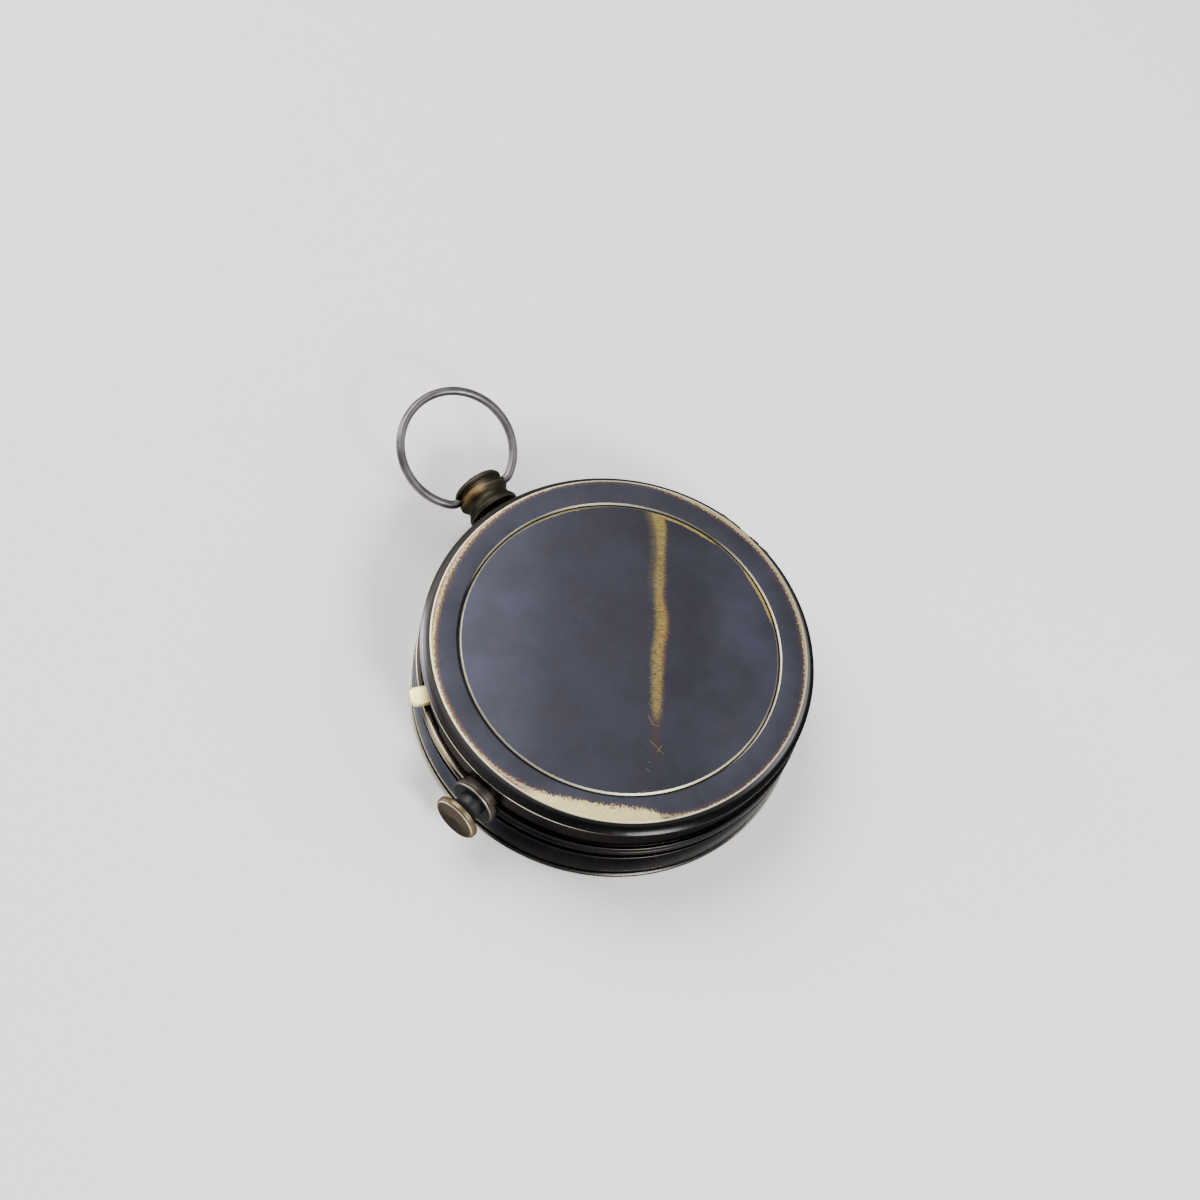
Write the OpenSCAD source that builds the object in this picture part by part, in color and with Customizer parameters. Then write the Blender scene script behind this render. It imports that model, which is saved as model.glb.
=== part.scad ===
// Pocket compass in a turned brass drum with a hinged lid, a push-button lid catch,
// a sliding needle lock and a swinging bow.
// The origin is on the drum's axis at the underside of the base, with +Z up and the pendant on +Y.

/* [Case] */
// Radius of the drum's lower band
drum_r = 38; // [37.9:0.05:38.1]
// Radius of the recessed wall under the lid
neck_r = 37.3; // [37.2:0.05:37.4]
// Height of the case without its lid
case_h = 19.5; // [19.5:0.01:19.55]
// Radius of the bore that holds the compass
bore_r = 32.4; // [32.35:0.01:32.42]
// Depth of the groove round the drum's middle
groove_depth = 1.1; // [0.8:0.05:1.2]

/* [Lid] */
// Height of the closed lid's top face
top_z = 22.4; // [22.3:0.05:22.6]
// Radius of the lid's flat top
lid_top_r = 36.3; // [36:0.1:36.5]
// Radius of the disc let into the lid
lid_disc_r = 30.75; // [30.5:0.05:31]

/* [Push button] */
// Angle of the push button round the drum
button_angle = 193.4; // [190:0.1:197]
// Height of the push button's and the pendant's axes
fitting_z = 10.8; // [10.7:0.05:10.9]
// Radius of the button's head
button_r = 4.75; // [4.2:0.05:5]
// How far the button travels
button_travel = 0.8; // [0.5:0.1:0.8]

/* [Needle lock] */
// Angle of the lock's tab with the needle free
tab_angle = 160.5; // [158:0.1:163]
// How far the tab slides to lock the needle, in degrees
lock_turn = 6.5; // [5:0.1:6.5]
// How far the lock lifts the needle
needle_lift = 0.6; // [0.4:0.05:0.6]

/* [Pendant and bow] */
// Distance of the bow's pivots from the drum's axis
bow_pivot_r = 46.3; // [46:0.1:46.6]
// Radius of the bow at the middle of its wire
bow_r = 11.65; // [11:0.05:12.5]
// Diameter of the bow's wire
bow_wire = 1.76; // [1.5:0.02:1.78]
// How far the resting bow leans up from level, in degrees
bow_lean = 20; // [0:1:60]

/* [Compass] */
// Length of the needle from its pivot to either tip
needle_reach = 26.6; // [20:0.1:27]
// Number of screws that hold the dial
dial_screw_count = 3; // [3:1:3]

/* [Hidden] */
$fn = 96;

// Fits and small cuts
eps = 0.01;
seat_gap = 0.05;
run_gap = 0.03;
edge = 0.25;

// Levels up the drum
base_h = 3.1;
band_top = 9.1;
bead_low = 11.1;
bead_top = 13.7;
bead_r = drum_r + 0.15;
bead_line_z = (bead_low + bead_top) / 2;
bead_line_depth = 0.3;
bead_line_half = 0.17;
groove_r = drum_r - groove_depth;
lower_bore_r = 34.6;
web_low = 12.9;
floor_z = 14.2;

// Levels of the compass above the floor
ring_low = floor_z + seat_gap;
ring_top = ring_low + 0.95;
foot_low = ring_top + 0.08;
lifter_low = foot_low + 0.67;
lifter_top = lifter_low + 0.55;
dial_low = lifter_top + needle_lift + 0.1;
dial_top = dial_low + 0.6;
scale_top = dial_top + 0.5;
needle_low = dial_top + 0.4;
weight_place = 13;
weight_len = 1.8;
needle_t = 0.4;
needle_w = 4;
cap_low = dial_top + 0.15;
cap_top = cap_low + 1.1;
glass_low = cap_top + needle_lift + 0.05;
glass_t = 1;
bezel_top = glass_low + glass_t + 0.3;

// Lid
lid_low = case_h + 0.1;
lid_under = bezel_top + 0.2;
lid_lip_z = lid_low + 0.35;
lid_wide_z = lid_low + 0.65;
skirt_r = 35.8;
undercut_r = 36.3;
undercut_low = lid_low + 0.4;
undercut_top = lid_low + 1.3;
ledge_r = 29.5;
ledge_z = lid_under + 0.4;
groove_chamfer = 0.38;
disc_gap = 0.2;

// Hinge, opposite the push button
hinge_angle = button_angle - 180;
hinge_r = 36.9;
hinge_z = (case_h + lid_low) / 2;
knuckle_r = 1.05;
knuckle_pin_r = 0.5;
hinge_notch_r = 1.4;
knuckle_count = 5;
hinge_len = 12;
knuckle_gap = 0.06;
knuckle_len = (hinge_len - (knuckle_count - 1) * knuckle_gap) / knuckle_count;

// Push button and catch, as distances from the drum's axis
collar_face = 36.95;
collar_front = 39.4;
collar_r = 4.85;
collar_spigot_r = 3;
stem_r = 2.6;
collar_bore_depth = 1.5;
stem_shoulder = collar_front - collar_bore_depth + button_travel + 0.3;
guide_r = 1.5;
guide_gap = 0.05;
head_back = 42.9;
head_front = 44.3;
flare_r = 3.9;
flare_len = 1.9;
channel_back = 35;
plate_out = channel_back - 0.05;
plate_t = 0.95;
plate_in = plate_out - plate_t;
plate_w = 4.2;
plate_low = fitting_z - 2.1;
nose_r = 35.6;
nose_low = undercut_low + 0.05;
nose_top = undercut_top - 0.1;
tail_r = 0.85;
tail_end = 28.6;
bracket_face = 30.2;
bracket_t = 0.8;
bracket_w = 5;
bracket_foot = 5.2;
bracket_screw_r = 0.8;
bracket_screw_circle = bracket_face - bracket_foot + 1;
bracket_screw_top = 13.7;
spring_mean_r = 1.3;
spring_wire_r = 0.17;
spring_turns = 5;

// Needle lock
rib_r = 27;
rib_w = 1.6;
ring_inner_r = rib_r + seat_gap;
ring_outer_r = bore_r - 0.5;
ramp_r = 29.5;
ramp_w = 2.4;
ramp_length = ramp_r * lock_turn * PI / 180;
ramp_slope = needle_lift / ramp_length;
foot_w = 1.2;
foot_len = 1.6;
lifter_angles = [30, 150, 270];
lifter_plate_r = 23;
arm_w = 3;
tab_low = 14.7;
tab_t = 1.2;
tab_w = 3.7;
tab_out = 40.45;
tab_corner_r = 1.25;
tab_root = 29.2;
tab_neck_w = 3;
slot_low = 14.5;
slot_top = 16.2;
slot_start = tab_angle - 4.3;
slot_end = tab_angle + lock_turn + 5;

// Compass
dial_r = bore_r - 0.2;
scale_inner_r = 27.5;
pillar_r = 1.2;
pillar_circle = 20;
pillar_angles = [for (i = [0 : dial_screw_count - 1]) 90 + i * 360 / dial_screw_count];
dial_screw_r = 0.6;
dial_screw_head_r = 1.5;
dial_screw_head = 0.25;
dial_screw_grip = 1.5;
sleeve_r = 1.7;
sleeve_bore_r = 0.7;
dial_hole_r = 2;
pin_r = 0.6;
post_r = 1.4;
pin_tip = cap_low + 0.72;
jewel_r = 1.2;
cap_r = 2.2;
glass_r = 31.2;
bezel_flange_r = 33.1;
bezel_low = 18.6;

// Base
base_r = drum_r + 0.2;
rim_groove_low = 1.1;
rim_groove_top = 2.6;
rim_groove_depth = 0.4;
spigot_r = lower_bore_r - seat_gap;
spigot_wall = 1.6;
spigot_top = 3.9;
plate_thickness = 2;
base_screw_circle = 36.2;
base_screw_angles = [30, 150, 270];
base_screw_r = 0.7;
base_screw_head_r = 1.35;
base_screw_top = 7;

// Places children at an angle round the drum, with X pointing outward
module around(angle) rotate([0, 0, angle]) children();

// Lays children's Z axis along the outward X axis at a height, so that Z counts from the drum's axis
module radial(angle, z) around(angle) translate([0, 0, z]) rotate([0, 90, 0]) children();

// Revolves an outline of [radius, height] points
module turned(points) rotate_extrude($fn = 180) polygon(points);

// Points of an arc from a to b that stands proud of the straight line by bulge
function bowed(a, b, bulge, steps = 10) =
    let (d = b - a, len = norm(d), side = [-d[1], d[0]] / len)
    [for (i = [0 : steps]) a + d * i / steps + side * bulge * sin(180 * i / steps)];

// A sector of the plane between two angles, out to a radius
module sector(start, stop, r) {
    steps = 8;
    polygon(concat([[0, 0]], [for (i = [0 : steps])
        let (t = start + (stop - start) * i / steps) [r * cos(t), r * sin(t)]]));
}

// Points of one ring of a helix's tube, square to its path
function helix_ring(turn, mean_r, tube_r, pitch, sides) =
    let (t = 360 * turn, rise = pitch / (2 * PI * mean_r), lean = atan(rise),
         out = [cos(t), sin(t), 0], up = [sin(t) * sin(lean), -cos(t) * sin(lean), cos(lean)])
    [for (k = [0 : sides - 1]) let (s = 360 * k / sides)
        out * (mean_r + tube_r * cos(s)) + up * tube_r * sin(s) + [0, 0, pitch * turn]];

// Coil spring along Z, from 0 to length, one closed tube
module coil_spring(mean_r, tube_r, length, turns) {
    sides = 6;
    steps = 10 * turns;
    pitch = (length - 2 * tube_r) / turns;
    rings = [for (i = [0 : steps]) helix_ring(i / steps * turns, mean_r, tube_r, pitch, sides)];
    points = [for (ring = rings) for (p = ring) p + [0, 0, tube_r]];
    walls = [for (i = [0 : steps - 1]) for (k = [0 : sides - 1])
        let (a = i * sides + k, b = i * sides + (k + 1) % sides)
        each [[a, b + sides, b], [a, a + sides, b + sides]]];
    first = [for (k = [0 : sides - 1]) k];
    last = [for (k = [sides - 1 : -1 : 0]) steps * sides + k];
    polyhedron(points, concat(walls, [first, last]), convexity = 10);
}

// Turned and bored drum: lower band, groove, bead with a line round it, floor, and the fittings' seats
module case_drum() {
    outline = [
        [0, web_low], [lower_bore_r, web_low], [lower_bore_r, base_h],
        [drum_r - edge, base_h], [drum_r, base_h + edge],
        [drum_r, band_top - edge], [drum_r - edge, band_top],
        [groove_r, band_top], [groove_r, bead_low],
        [bead_r - edge, bead_low], [bead_r, bead_low + edge],
        [bead_r, bead_line_z - bead_line_half], [bead_r - bead_line_depth, bead_line_z],
        [bead_r, bead_line_z + bead_line_half],
        [bead_r, bead_top - edge], [bead_r - edge, bead_top],
        [neck_r, bead_top], [neck_r, case_h],
        [bore_r, case_h], [bore_r, floor_z], [rib_r, floor_z], [rib_r, ring_top - 0.1],
        [rib_r - rib_w, ring_top - 0.1], [rib_r - rib_w, floor_z], [0, floor_z]
    ];
    color([0.2, 0.19, 0.2]) difference() {
        turned(outline);
        // Seat and hole of the push button's collar
        radial(button_angle, fitting_z) {
            translate([0, 0, collar_face]) cylinder(r = collar_r + 0.1, h = 3);
            translate([0, 0, channel_back - eps]) cylinder(r = collar_spigot_r, h = 3);
        }
        // Channel up the wall for the catch plate
        around(button_angle) translate([bore_r - 1, -plate_w / 2 - seat_gap, plate_low - seat_gap])
            cube([channel_back - bore_r + 1, plate_w + 2 * seat_gap, case_h]);
        // Seat and hole of the pendant
        radial(90, fitting_z) {
            translate([0, 0, groove_r]) cylinder(r = pendant_foot_r + 0.1, h = 3);
            translate([0, 0, lower_bore_r - 0.1]) cylinder(r = pendant_spigot_r, h = 3);
        }
        // Slot for the lock's tab
        translate([0, 0, slot_low]) linear_extrude(slot_top - slot_low) difference() {
            sector(slot_start, slot_end, drum_r + 2);
            circle(r = bore_r - 0.5);
        }
        // Notch for the hinge
        hinge_place() cylinder(r = hinge_notch_r, h = hinge_len + 0.2, center = true);
        // Holes of the pivot post, the dial pillars and the bracket's screw
        cylinder(r = post_r - 0.4, h = case_h);
        for (a = pillar_angles) around(a) translate([pillar_circle, 0, 0])
            cylinder(r = pillar_r - 0.4, h = case_h);
        around(button_angle) translate([bracket_screw_circle, 0, 0])
            cylinder(r = bracket_screw_r, h = bracket_screw_top);
        for (a = base_screw_angles) around(a) translate([base_screw_circle, 0, 0])
            cylinder(r = base_screw_r, h = base_screw_top);
    }
}

// Screwed-on base: flat underside, rim with a groove turned round it, and a spigot inside the drum
module base_cover() {
    outline = [
        [0, 0], [base_r - 0.7, 0], [base_r - 0.1, 0.4], [base_r, 0.7],
        [base_r, rim_groove_low], [base_r - rim_groove_depth, rim_groove_low + 0.2],
        [base_r - rim_groove_depth, rim_groove_top - 0.2], [base_r - 0.15, rim_groove_top],
        [base_r - 0.15, base_h - 0.15], [base_r - 0.3, base_h],
        [spigot_r, base_h], [spigot_r, spigot_top], [spigot_r - spigot_wall, spigot_top],
        [spigot_r - spigot_wall, plate_thickness], [0, plate_thickness]
    ];
    color([0.23, 0.22, 0.22]) difference() {
        turned(outline);
        for (a = base_screw_angles) around(a) translate([base_screw_circle, 0, 0]) base_screw_shape(0);
    }
}

// One countersunk screw of the base, head down
module base_screw_shape(slot_depth) {
    difference() {
        rotate_extrude($fn = 48) polygon([
            [0, 0.1], [base_screw_head_r, 0.1], [base_screw_head_r, 0.25],
            [base_screw_r, 0.9], [base_screw_r, base_screw_top], [0, base_screw_top]
        ]);
        if (slot_depth > 0)
            translate([-2, -0.2, -1]) cube([4, 0.4, 1.1 + slot_depth]);
    }
    if (slot_depth == 0) translate([0, 0, -1]) cylinder(r = base_screw_head_r, h = 1.1 + eps);
}

module base_screws() {
    color([0.6, 0.5, 0.3]) for (a = base_screw_angles)
        around(a) translate([base_screw_circle, 0, 0]) base_screw_shape(0.35);
}

// Pendant
pendant_foot_r = 3.6;
pendant_spigot_r = 2.2;
pendant_lower_r = 5.2;
pendant_shoulder_r = 5.3;
pendant_groove_r = 4.7;
bow_hole_r = 0.6;
bow_pin_r = bow_hole_r - run_gap;
bow_gap = pendant_shoulder_r + 0.1;
bow_pin_end = 3.8;
bow_elbow_r = 2.8;
bow_lap = 0.5;

// Turned pendant: foot in the drum's groove, spool-shaped body, bow groove and domed cap
module pendant() {
    piv = bow_pivot_r;
    outline = concat(
        [[0, lower_bore_r], [pendant_spigot_r, lower_bore_r], [pendant_spigot_r, groove_r],
         [pendant_foot_r, groove_r], [pendant_foot_r, groove_r + 1.5]],
        bowed([3.3, groove_r + 2], [pendant_lower_r - 0.5, piv - 5.6], 0.35, 6),
        bowed([pendant_lower_r, piv - 5.3], [pendant_lower_r, piv - 4.3], -0.12, 6),
        bowed([pendant_lower_r - 0.2, piv - 4.1], [pendant_shoulder_r - 0.15, piv - 1.6], 0.55, 10),
        bowed([pendant_shoulder_r, piv - 1.4], [pendant_shoulder_r - 0.1, piv - 0.55], -0.08, 6),
        [[pendant_groove_r, piv - 0.4], [pendant_groove_r, piv + 0.4],
         [pendant_shoulder_r - 0.2, piv + 0.6], [pendant_shoulder_r - 0.1, piv + 1.1]],
        bowed([pendant_shoulder_r - 0.4, piv + 1.6], [0, piv + 2.5], -0.35, 8));
    color([0.2, 0.18, 0.16]) difference() {
        radial(90, fitting_z) rotate_extrude($fn = 96) polygon(outline);
        for (side = [-1, 1]) translate([side * (bow_pin_end - 0.2), piv, fitting_z]) rotate([0, side * 90, 0])
            cylinder(r = bow_hole_r, h = 3);
    }
}

// Bow bent from round wire: a ring whose ends turn in more sharply, square to the pendant's sides,
// and are turned down to pins
module bow_ring() {
    bend = asin(bow_gap / (bow_r - bow_elbow_r));
    middle = bow_elbow_r + (bow_r - bow_elbow_r) * cos(bend);
    color([0.24, 0.24, 0.26]) translate([0, bow_pivot_r, fitting_z]) rotate([bow_lean, 0, 0]) {
        translate([0, middle, 0]) bent_wire(bow_r, bow_wire / 2, bend - bow_lap, 360 - 2 * (bend - bow_lap));
        for (side = [-1, 1]) {
            translate([side * bow_gap, bow_elbow_r, 0])
                bent_wire(bow_elbow_r, bow_wire / 2 + eps, side > 0 ? 0 : -bend, bend);
            translate([side * bow_pin_end, 0, 0]) rotate([0, side * 90, 0])
                cylinder(r = bow_pin_r, h = bow_gap - bow_pin_end + 0.1);
        }
    }
}

// A length of wire bent to an arc in the plane of the bow, from an angle past straight down
module bent_wire(bend_r, wire_r, start, turn)
    rotate([0, 0, start - 90]) rotate_extrude(angle = turn, $fn = 120)
        translate([bend_r, 0]) circle(r = wire_r, $fn = 32);

// Collar screwed into the drum, in which the push button slides
module latch_collar() {
    outline = concat(
        [[guide_r + guide_gap, channel_back], [collar_spigot_r, channel_back],
         [collar_spigot_r, collar_face], [collar_r - 0.2, collar_face], [collar_r, collar_face + 0.3]],
        [[collar_r, collar_front - 0.45], [collar_r - 0.12, collar_front - 0.15],
         [collar_r - 0.45, collar_front],
         [stem_r + guide_gap, collar_front], [stem_r + guide_gap, collar_front - collar_bore_depth],
         [guide_r + guide_gap, collar_front - collar_bore_depth]]);
    color([0.3, 0.28, 0.26]) radial(button_angle, fitting_z) rotate_extrude($fn = 96) polygon(outline);
}

// Turned push button: head, flared waist, guide and tail
module latch_button() {
    outline = [
        [0, tail_end], [tail_r - 0.2, tail_end], [tail_r, tail_end + 0.2], [tail_r, plate_in],
        [guide_r, plate_in], [guide_r, stem_shoulder], [stem_r, stem_shoulder],
        each bowed([stem_r, head_back - flare_len], [flare_r, head_back - 0.1], 0.25, 6),
        [flare_r, head_back], [button_r - 0.25, head_back], [button_r, head_back + 0.3],
        [button_r, head_back + 0.6], [button_r - 0.25, head_front - 0.2],
        [button_r - 0.5, head_front], [button_r - 0.8, head_front - 0.12],
        [0, head_front - 0.2]
    ];
    color([0.42, 0.38, 0.32]) radial(button_angle, fitting_z) difference() {
        rotate_extrude($fn = 96) polygon(outline);
        // Flats that the catch plate's hole fits
        for (side = [-1, 1]) translate([-3, side * (guide_r + 1) - 1, plate_in - eps])
            cube([6, 2 - 0.6 + eps, plate_t + eps]);
    }
}

// Catch plate riveted on the button's guide, with a nose that hooks the lid
module catch_plate() {
    color([0.55, 0.55, 0.56]) difference() {
        around(button_angle) union() {
            translate([plate_in, -plate_w / 2, plate_low])
                cube([plate_t, plate_w, nose_top - plate_low]);
            translate([0, plate_w / 2, 0]) rotate([90, 0, 0]) linear_extrude(plate_w) polygon([
                [plate_in, nose_low], [nose_r, nose_low], [nose_r, nose_low + 0.25],
                [plate_out, nose_top], [plate_in, nose_top]
            ]);
        }
        around(button_angle) translate([plate_in - 1, -guide_r, fitting_z - guide_r])
            cube([plate_t + 2, 2 * guide_r, 2 * guide_r]);
    }
}

module latch_spring() {
    color([0.6, 0.6, 0.62]) radial(button_angle, fitting_z) translate([0, 0, bracket_face])
        coil_spring(spring_mean_r, spring_wire_r, plate_in - bracket_face, spring_turns);
}

// Angle bracket under the floor that backs the spring and guides the button's tail
module spring_bracket() {
    inner = bracket_face - bracket_t;
    color([0.55, 0.45, 0.25]) around(button_angle) difference() {
        union() {
            translate([inner, -bracket_w / 2, fitting_z - 2.3])
                cube([bracket_t, bracket_w, web_low - fitting_z + 2.3]);
            translate([bracket_face - bracket_foot, -bracket_w / 2, web_low - bracket_t])
                cube([bracket_foot, bracket_w, bracket_t]);
        }
        translate([inner - 1, 0, fitting_z]) rotate([0, 90, 0]) cylinder(r = tail_r + guide_gap, h = 3);
        translate([bracket_screw_circle, 0, web_low - 2]) cylinder(r = bracket_screw_r, h = 4);
    }
}

module bracket_screw() {
    head_top = web_low - bracket_t;
    color([0.6, 0.5, 0.3]) around(button_angle) translate([bracket_screw_circle, 0, 0]) difference() {
        union() {
            translate([0, 0, head_top - 0.7]) cylinder(r = 1.4, h = 0.7);
            translate([0, 0, head_top - eps]) cylinder(r = bracket_screw_r, h = bracket_screw_top - head_top);
        }
        translate([-2, -0.2, head_top - 1]) cube([4, 0.4, 0.6]);
    }
}

// Puts children's Z axis along the hinge's axis
module hinge_place() around(hinge_angle) translate([hinge_r, 0, hinge_z]) rotate([90, 0, 0]) children();

// One knuckle: a tube on the hinge's axis and the saddle that solders it to its own side.
// The saddle fills the notch between two angles, seen along the hinge.
module knuckle(index, bore, from_angle, to_angle) {
    start = -hinge_len / 2 + index * (knuckle_len + knuckle_gap);
    translate([0, 0, start]) difference() {
        union() {
            cylinder(r = knuckle_r, h = knuckle_len, $fn = 48);
            linear_extrude(knuckle_len) intersection() {
                circle(r = hinge_notch_r);
                sector(from_angle, to_angle, hinge_notch_r + 1);
            }
        }
        translate([0, 0, -1]) cylinder(r = bore, h = knuckle_len + 2, $fn = 48);
    }
}

module case_hinge_knuckles() {
    color([0.3, 0.27, 0.22]) hinge_place()
        for (i = [0 : 2 : knuckle_count - 1]) knuckle(i, knuckle_pin_r, 184, 285);
}

module lid_hinge_knuckles() {
    color([0.3, 0.27, 0.22]) hinge_place()
        for (i = [1 : 2 : knuckle_count - 1]) knuckle(i, knuckle_pin_r + run_gap, 60, 176);
}

module hinge_pin() {
    color([0.5, 0.5, 0.5]) hinge_place()
        cylinder(r = knuckle_pin_r, h = hinge_len, center = true, $fn = 48);
}

// Lid's ring: flared flank, snap undercut inside its skirt, and a ledge for the disc
module lid_rim() {
    outline = concat(
        [[ledge_r, lid_under], [ledge_r, ledge_z], [lid_disc_r + disc_gap, ledge_z],
         [lid_disc_r + disc_gap, top_z - groove_chamfer],
         [lid_disc_r + disc_gap + groove_chamfer, top_z], [lid_top_r - 0.15, top_z]],
        bowed([lid_top_r, top_z - 0.1], [drum_r, lid_wide_z], -0.22, 10),
        [[drum_r, lid_lip_z], [drum_r - 0.12, lid_low + 0.1], [drum_r - 0.35, lid_low],
         [skirt_r, lid_low], [skirt_r, undercut_low], [undercut_r, undercut_low],
         [undercut_r, undercut_top], [skirt_r, lid_under]]);
    color([0.25, 0.26, 0.3]) difference() {
        turned(outline);
        hinge_place() cylinder(r = hinge_notch_r, h = hinge_len + 0.2, center = true);
    }
}

// Disc let into the lid, with a chamfered edge
module lid_disc() {
    color([0.28, 0.29, 0.33]) turned([
        [0, ledge_z], [lid_disc_r, ledge_z], [lid_disc_r, top_z - groove_chamfer - 0.05],
        [lid_disc_r - groove_chamfer, top_z - 0.05], [0, top_z - 0.05]
    ]);
}

// Ring that turns on the floor's rib. Its three ramps lift the needle lifter's feet.
module lock_ring() {
    ramp_h = needle_lift + 0.05;
    run = ramp_h / ramp_slope;
    color([0.6, 0.5, 0.28]) {
        difference() {
            union() {
                turned([
                    [ring_inner_r, ring_low], [ring_outer_r, ring_low],
                    [ring_outer_r, ring_top], [ring_inner_r, ring_top]
                ]);
                for (a = lifter_angles) around(a) translate([ramp_r - ramp_w / 2, -foot_len / 2, 0])
                    rotate([90, 0, 90]) linear_extrude(ramp_w) polygon([
                        [0, ring_top - 0.2], [0, ring_top], [-run, ring_top + ramp_h],
                        [-run - 0.6, ring_top + ramp_h], [-run - 0.6, ring_top - 0.2]
                    ]);
            }
            around(tab_angle) translate([tab_root, -tab_neck_w / 2, 0]) cube([10, tab_neck_w, case_h]);
        }
    }
}

// Thumb tab that reaches out through the slot, with its outer corners rounded
module lock_tab() {
    shoulder = bore_r + 0.3;
    color([0.9, 0.75, 0.4]) around(tab_angle) {
        translate([0, 0, tab_low]) linear_extrude(tab_t) {
            translate([shoulder, -tab_w / 2]) square([tab_out - tab_corner_r - shoulder, tab_w]);
            translate([shoulder, tab_corner_r - tab_w / 2])
                square([tab_out - shoulder, tab_w - 2 * tab_corner_r]);
            for (side = [-1, 1]) translate([tab_out - tab_corner_r, side * (tab_w / 2 - tab_corner_r)])
                circle(r = tab_corner_r, $fn = 48);
            translate([ring_outer_r - eps, -tab_neck_w / 2])
                square([shoulder + 0.1 - ring_outer_r, tab_neck_w]);
        }
        translate([tab_root, -tab_neck_w / 2, ring_low])
            cube([ring_outer_r - tab_root, tab_neck_w, tab_low + tab_t - ring_low]);
    }
}

// Lifter: a sleeve round the pivot and a three-armed plate guided by the dial pillars
module needle_lifter() {
    color([0.62, 0.5, 0.28]) difference() {
        union() {
            translate([0, 0, lifter_low]) linear_extrude(lifter_top - lifter_low) union() {
                circle(r = 5);
                difference() {
                    circle(r = lifter_plate_r);
                    circle(r = lifter_plate_r - 5.6);
                }
                for (a = lifter_angles) rotate(a) translate([0, -arm_w / 2])
                    square([ramp_r + foot_len / 2, arm_w]);
            }
            translate([0, 0, lifter_low]) cylinder(r = sleeve_r, h = cap_low - 0.1 - lifter_low);
            for (a = lifter_angles) around(a) translate([ramp_r - foot_len / 2, -foot_len / 2, foot_low])
                cube([foot_len, foot_w, lifter_low - foot_low + 0.1]);
        }
        translate([0, 0, lifter_low - 1]) cylinder(r = sleeve_bore_r, h = 5);
        for (a = pillar_angles) around(a) translate([pillar_circle, 0, lifter_low - 1])
            cylinder(r = pillar_r + guide_gap, h = 3);
    }
}

// Dial pillars, each riveted into the floor by a thinner foot
module dial_pillars() {
    color([0.7, 0.58, 0.32]) for (a = pillar_angles) around(a) translate([pillar_circle, 0, 0]) difference() {
        union() {
            translate([0, 0, web_low]) cylinder(r = pillar_r - 0.4, h = 3);
            translate([0, 0, floor_z]) cylinder(r = pillar_r, h = dial_low - floor_z);
        }
        translate([0, 0, dial_low - dial_screw_grip]) cylinder(r = dial_screw_r, h = 3);
    }
}

module dial_plate() {
    color([0.88, 0.85, 0.76]) difference() {
        translate([0, 0, dial_low]) cylinder(r = dial_r, h = dial_top - dial_low);
        translate([0, 0, dial_low - 1]) cylinder(r = dial_hole_r, h = 3);
        for (a = pillar_angles) around(a) translate([pillar_circle, 0, dial_low - 1])
            cylinder(r = dial_screw_r, h = 3);
    }
}

// Raised scale ring on the dial, with its inner edge bevelled
module degree_ring() {
    color([0.82, 0.8, 0.74]) turned([
        [scale_inner_r, dial_top], [dial_r, dial_top], [dial_r, scale_top],
        [scale_inner_r + 0.4, scale_top]
    ]);
}

module dial_screws() {
    shank = dial_top - dial_low + dial_screw_grip + eps;
    color([0.75, 0.62, 0.32]) for (a = pillar_angles) around(a) translate([pillar_circle, 0, 0])
        difference() {
            union() {
                translate([0, 0, dial_low - dial_screw_grip]) cylinder(r = dial_screw_r, h = shank);
                translate([0, 0, dial_top]) cylinder(r = dial_screw_head_r, h = dial_screw_head);
            }
            translate([-2, -0.15, dial_top + 0.1]) cube([4, 0.3, 1]);
        }
}

// Pivot post riveted into the floor, with a ground point
module pivot_post() {
    color([0.7, 0.7, 0.72]) rotate_extrude($fn = 64) polygon([
        [0, web_low], [post_r - 0.4, web_low], [post_r - 0.4, floor_z], [post_r, floor_z],
        [post_r, lifter_low - 0.5], [pin_r, lifter_low - 0.3], [pin_r, cap_low - 0.1], [0, pin_tip]
    ]);
}

// Magnetised needle: a long lozenge with a round boss for its cap
module needle() {
    color([0.18, 0.2, 0.32]) translate([0, 0, needle_low]) difference() {
        union() {
            linear_extrude(needle_t)
                polygon([[0, needle_reach], [needle_w / 2, 0], [0, -needle_reach], [-needle_w / 2, 0]]);
            cylinder(r = cap_r + 0.7, h = needle_t);
        }
        translate([0, 0, -1]) cylinder(r = cap_r - 0.5, h = 3);
    }
}

// Brass cap of the needle, shouldered to hold it, bored for the jewel
module needle_cap() {
    color([0.78, 0.64, 0.34]) rotate_extrude($fn = 64) polygon([
        [jewel_r, cap_low], [cap_r, cap_low], [cap_r, needle_low], [cap_r - 0.5, needle_low],
        [cap_r - 0.5, needle_low + needle_t], [cap_r - 0.7, cap_top], [0, cap_top],
        [0, cap_top - 0.15], [jewel_r, cap_top - 0.15]
    ]);
}

// Jewel cup that rides on the pivot's point
module needle_jewel() {
    color([0.55, 0.12, 0.14]) rotate_extrude($fn = 64) polygon([
        [0.95, cap_low], [jewel_r, cap_low], [jewel_r, cap_top - 0.15], [0, cap_top - 0.15],
        [0, pin_tip + 0.08]
    ]);
}

// Sliding weight on the south arm that trims the needle level
module needle_weight() {
    arm = needle_w * (1 - weight_place / needle_reach);
    color([0.78, 0.64, 0.34]) translate([0, -weight_place, needle_low + needle_t / 2]) difference() {
        cube([arm + 0.7, weight_len, needle_t + 0.36], center = true);
        cube([arm + 0.2, weight_len + 1, needle_t], center = true);
    }
}

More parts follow.
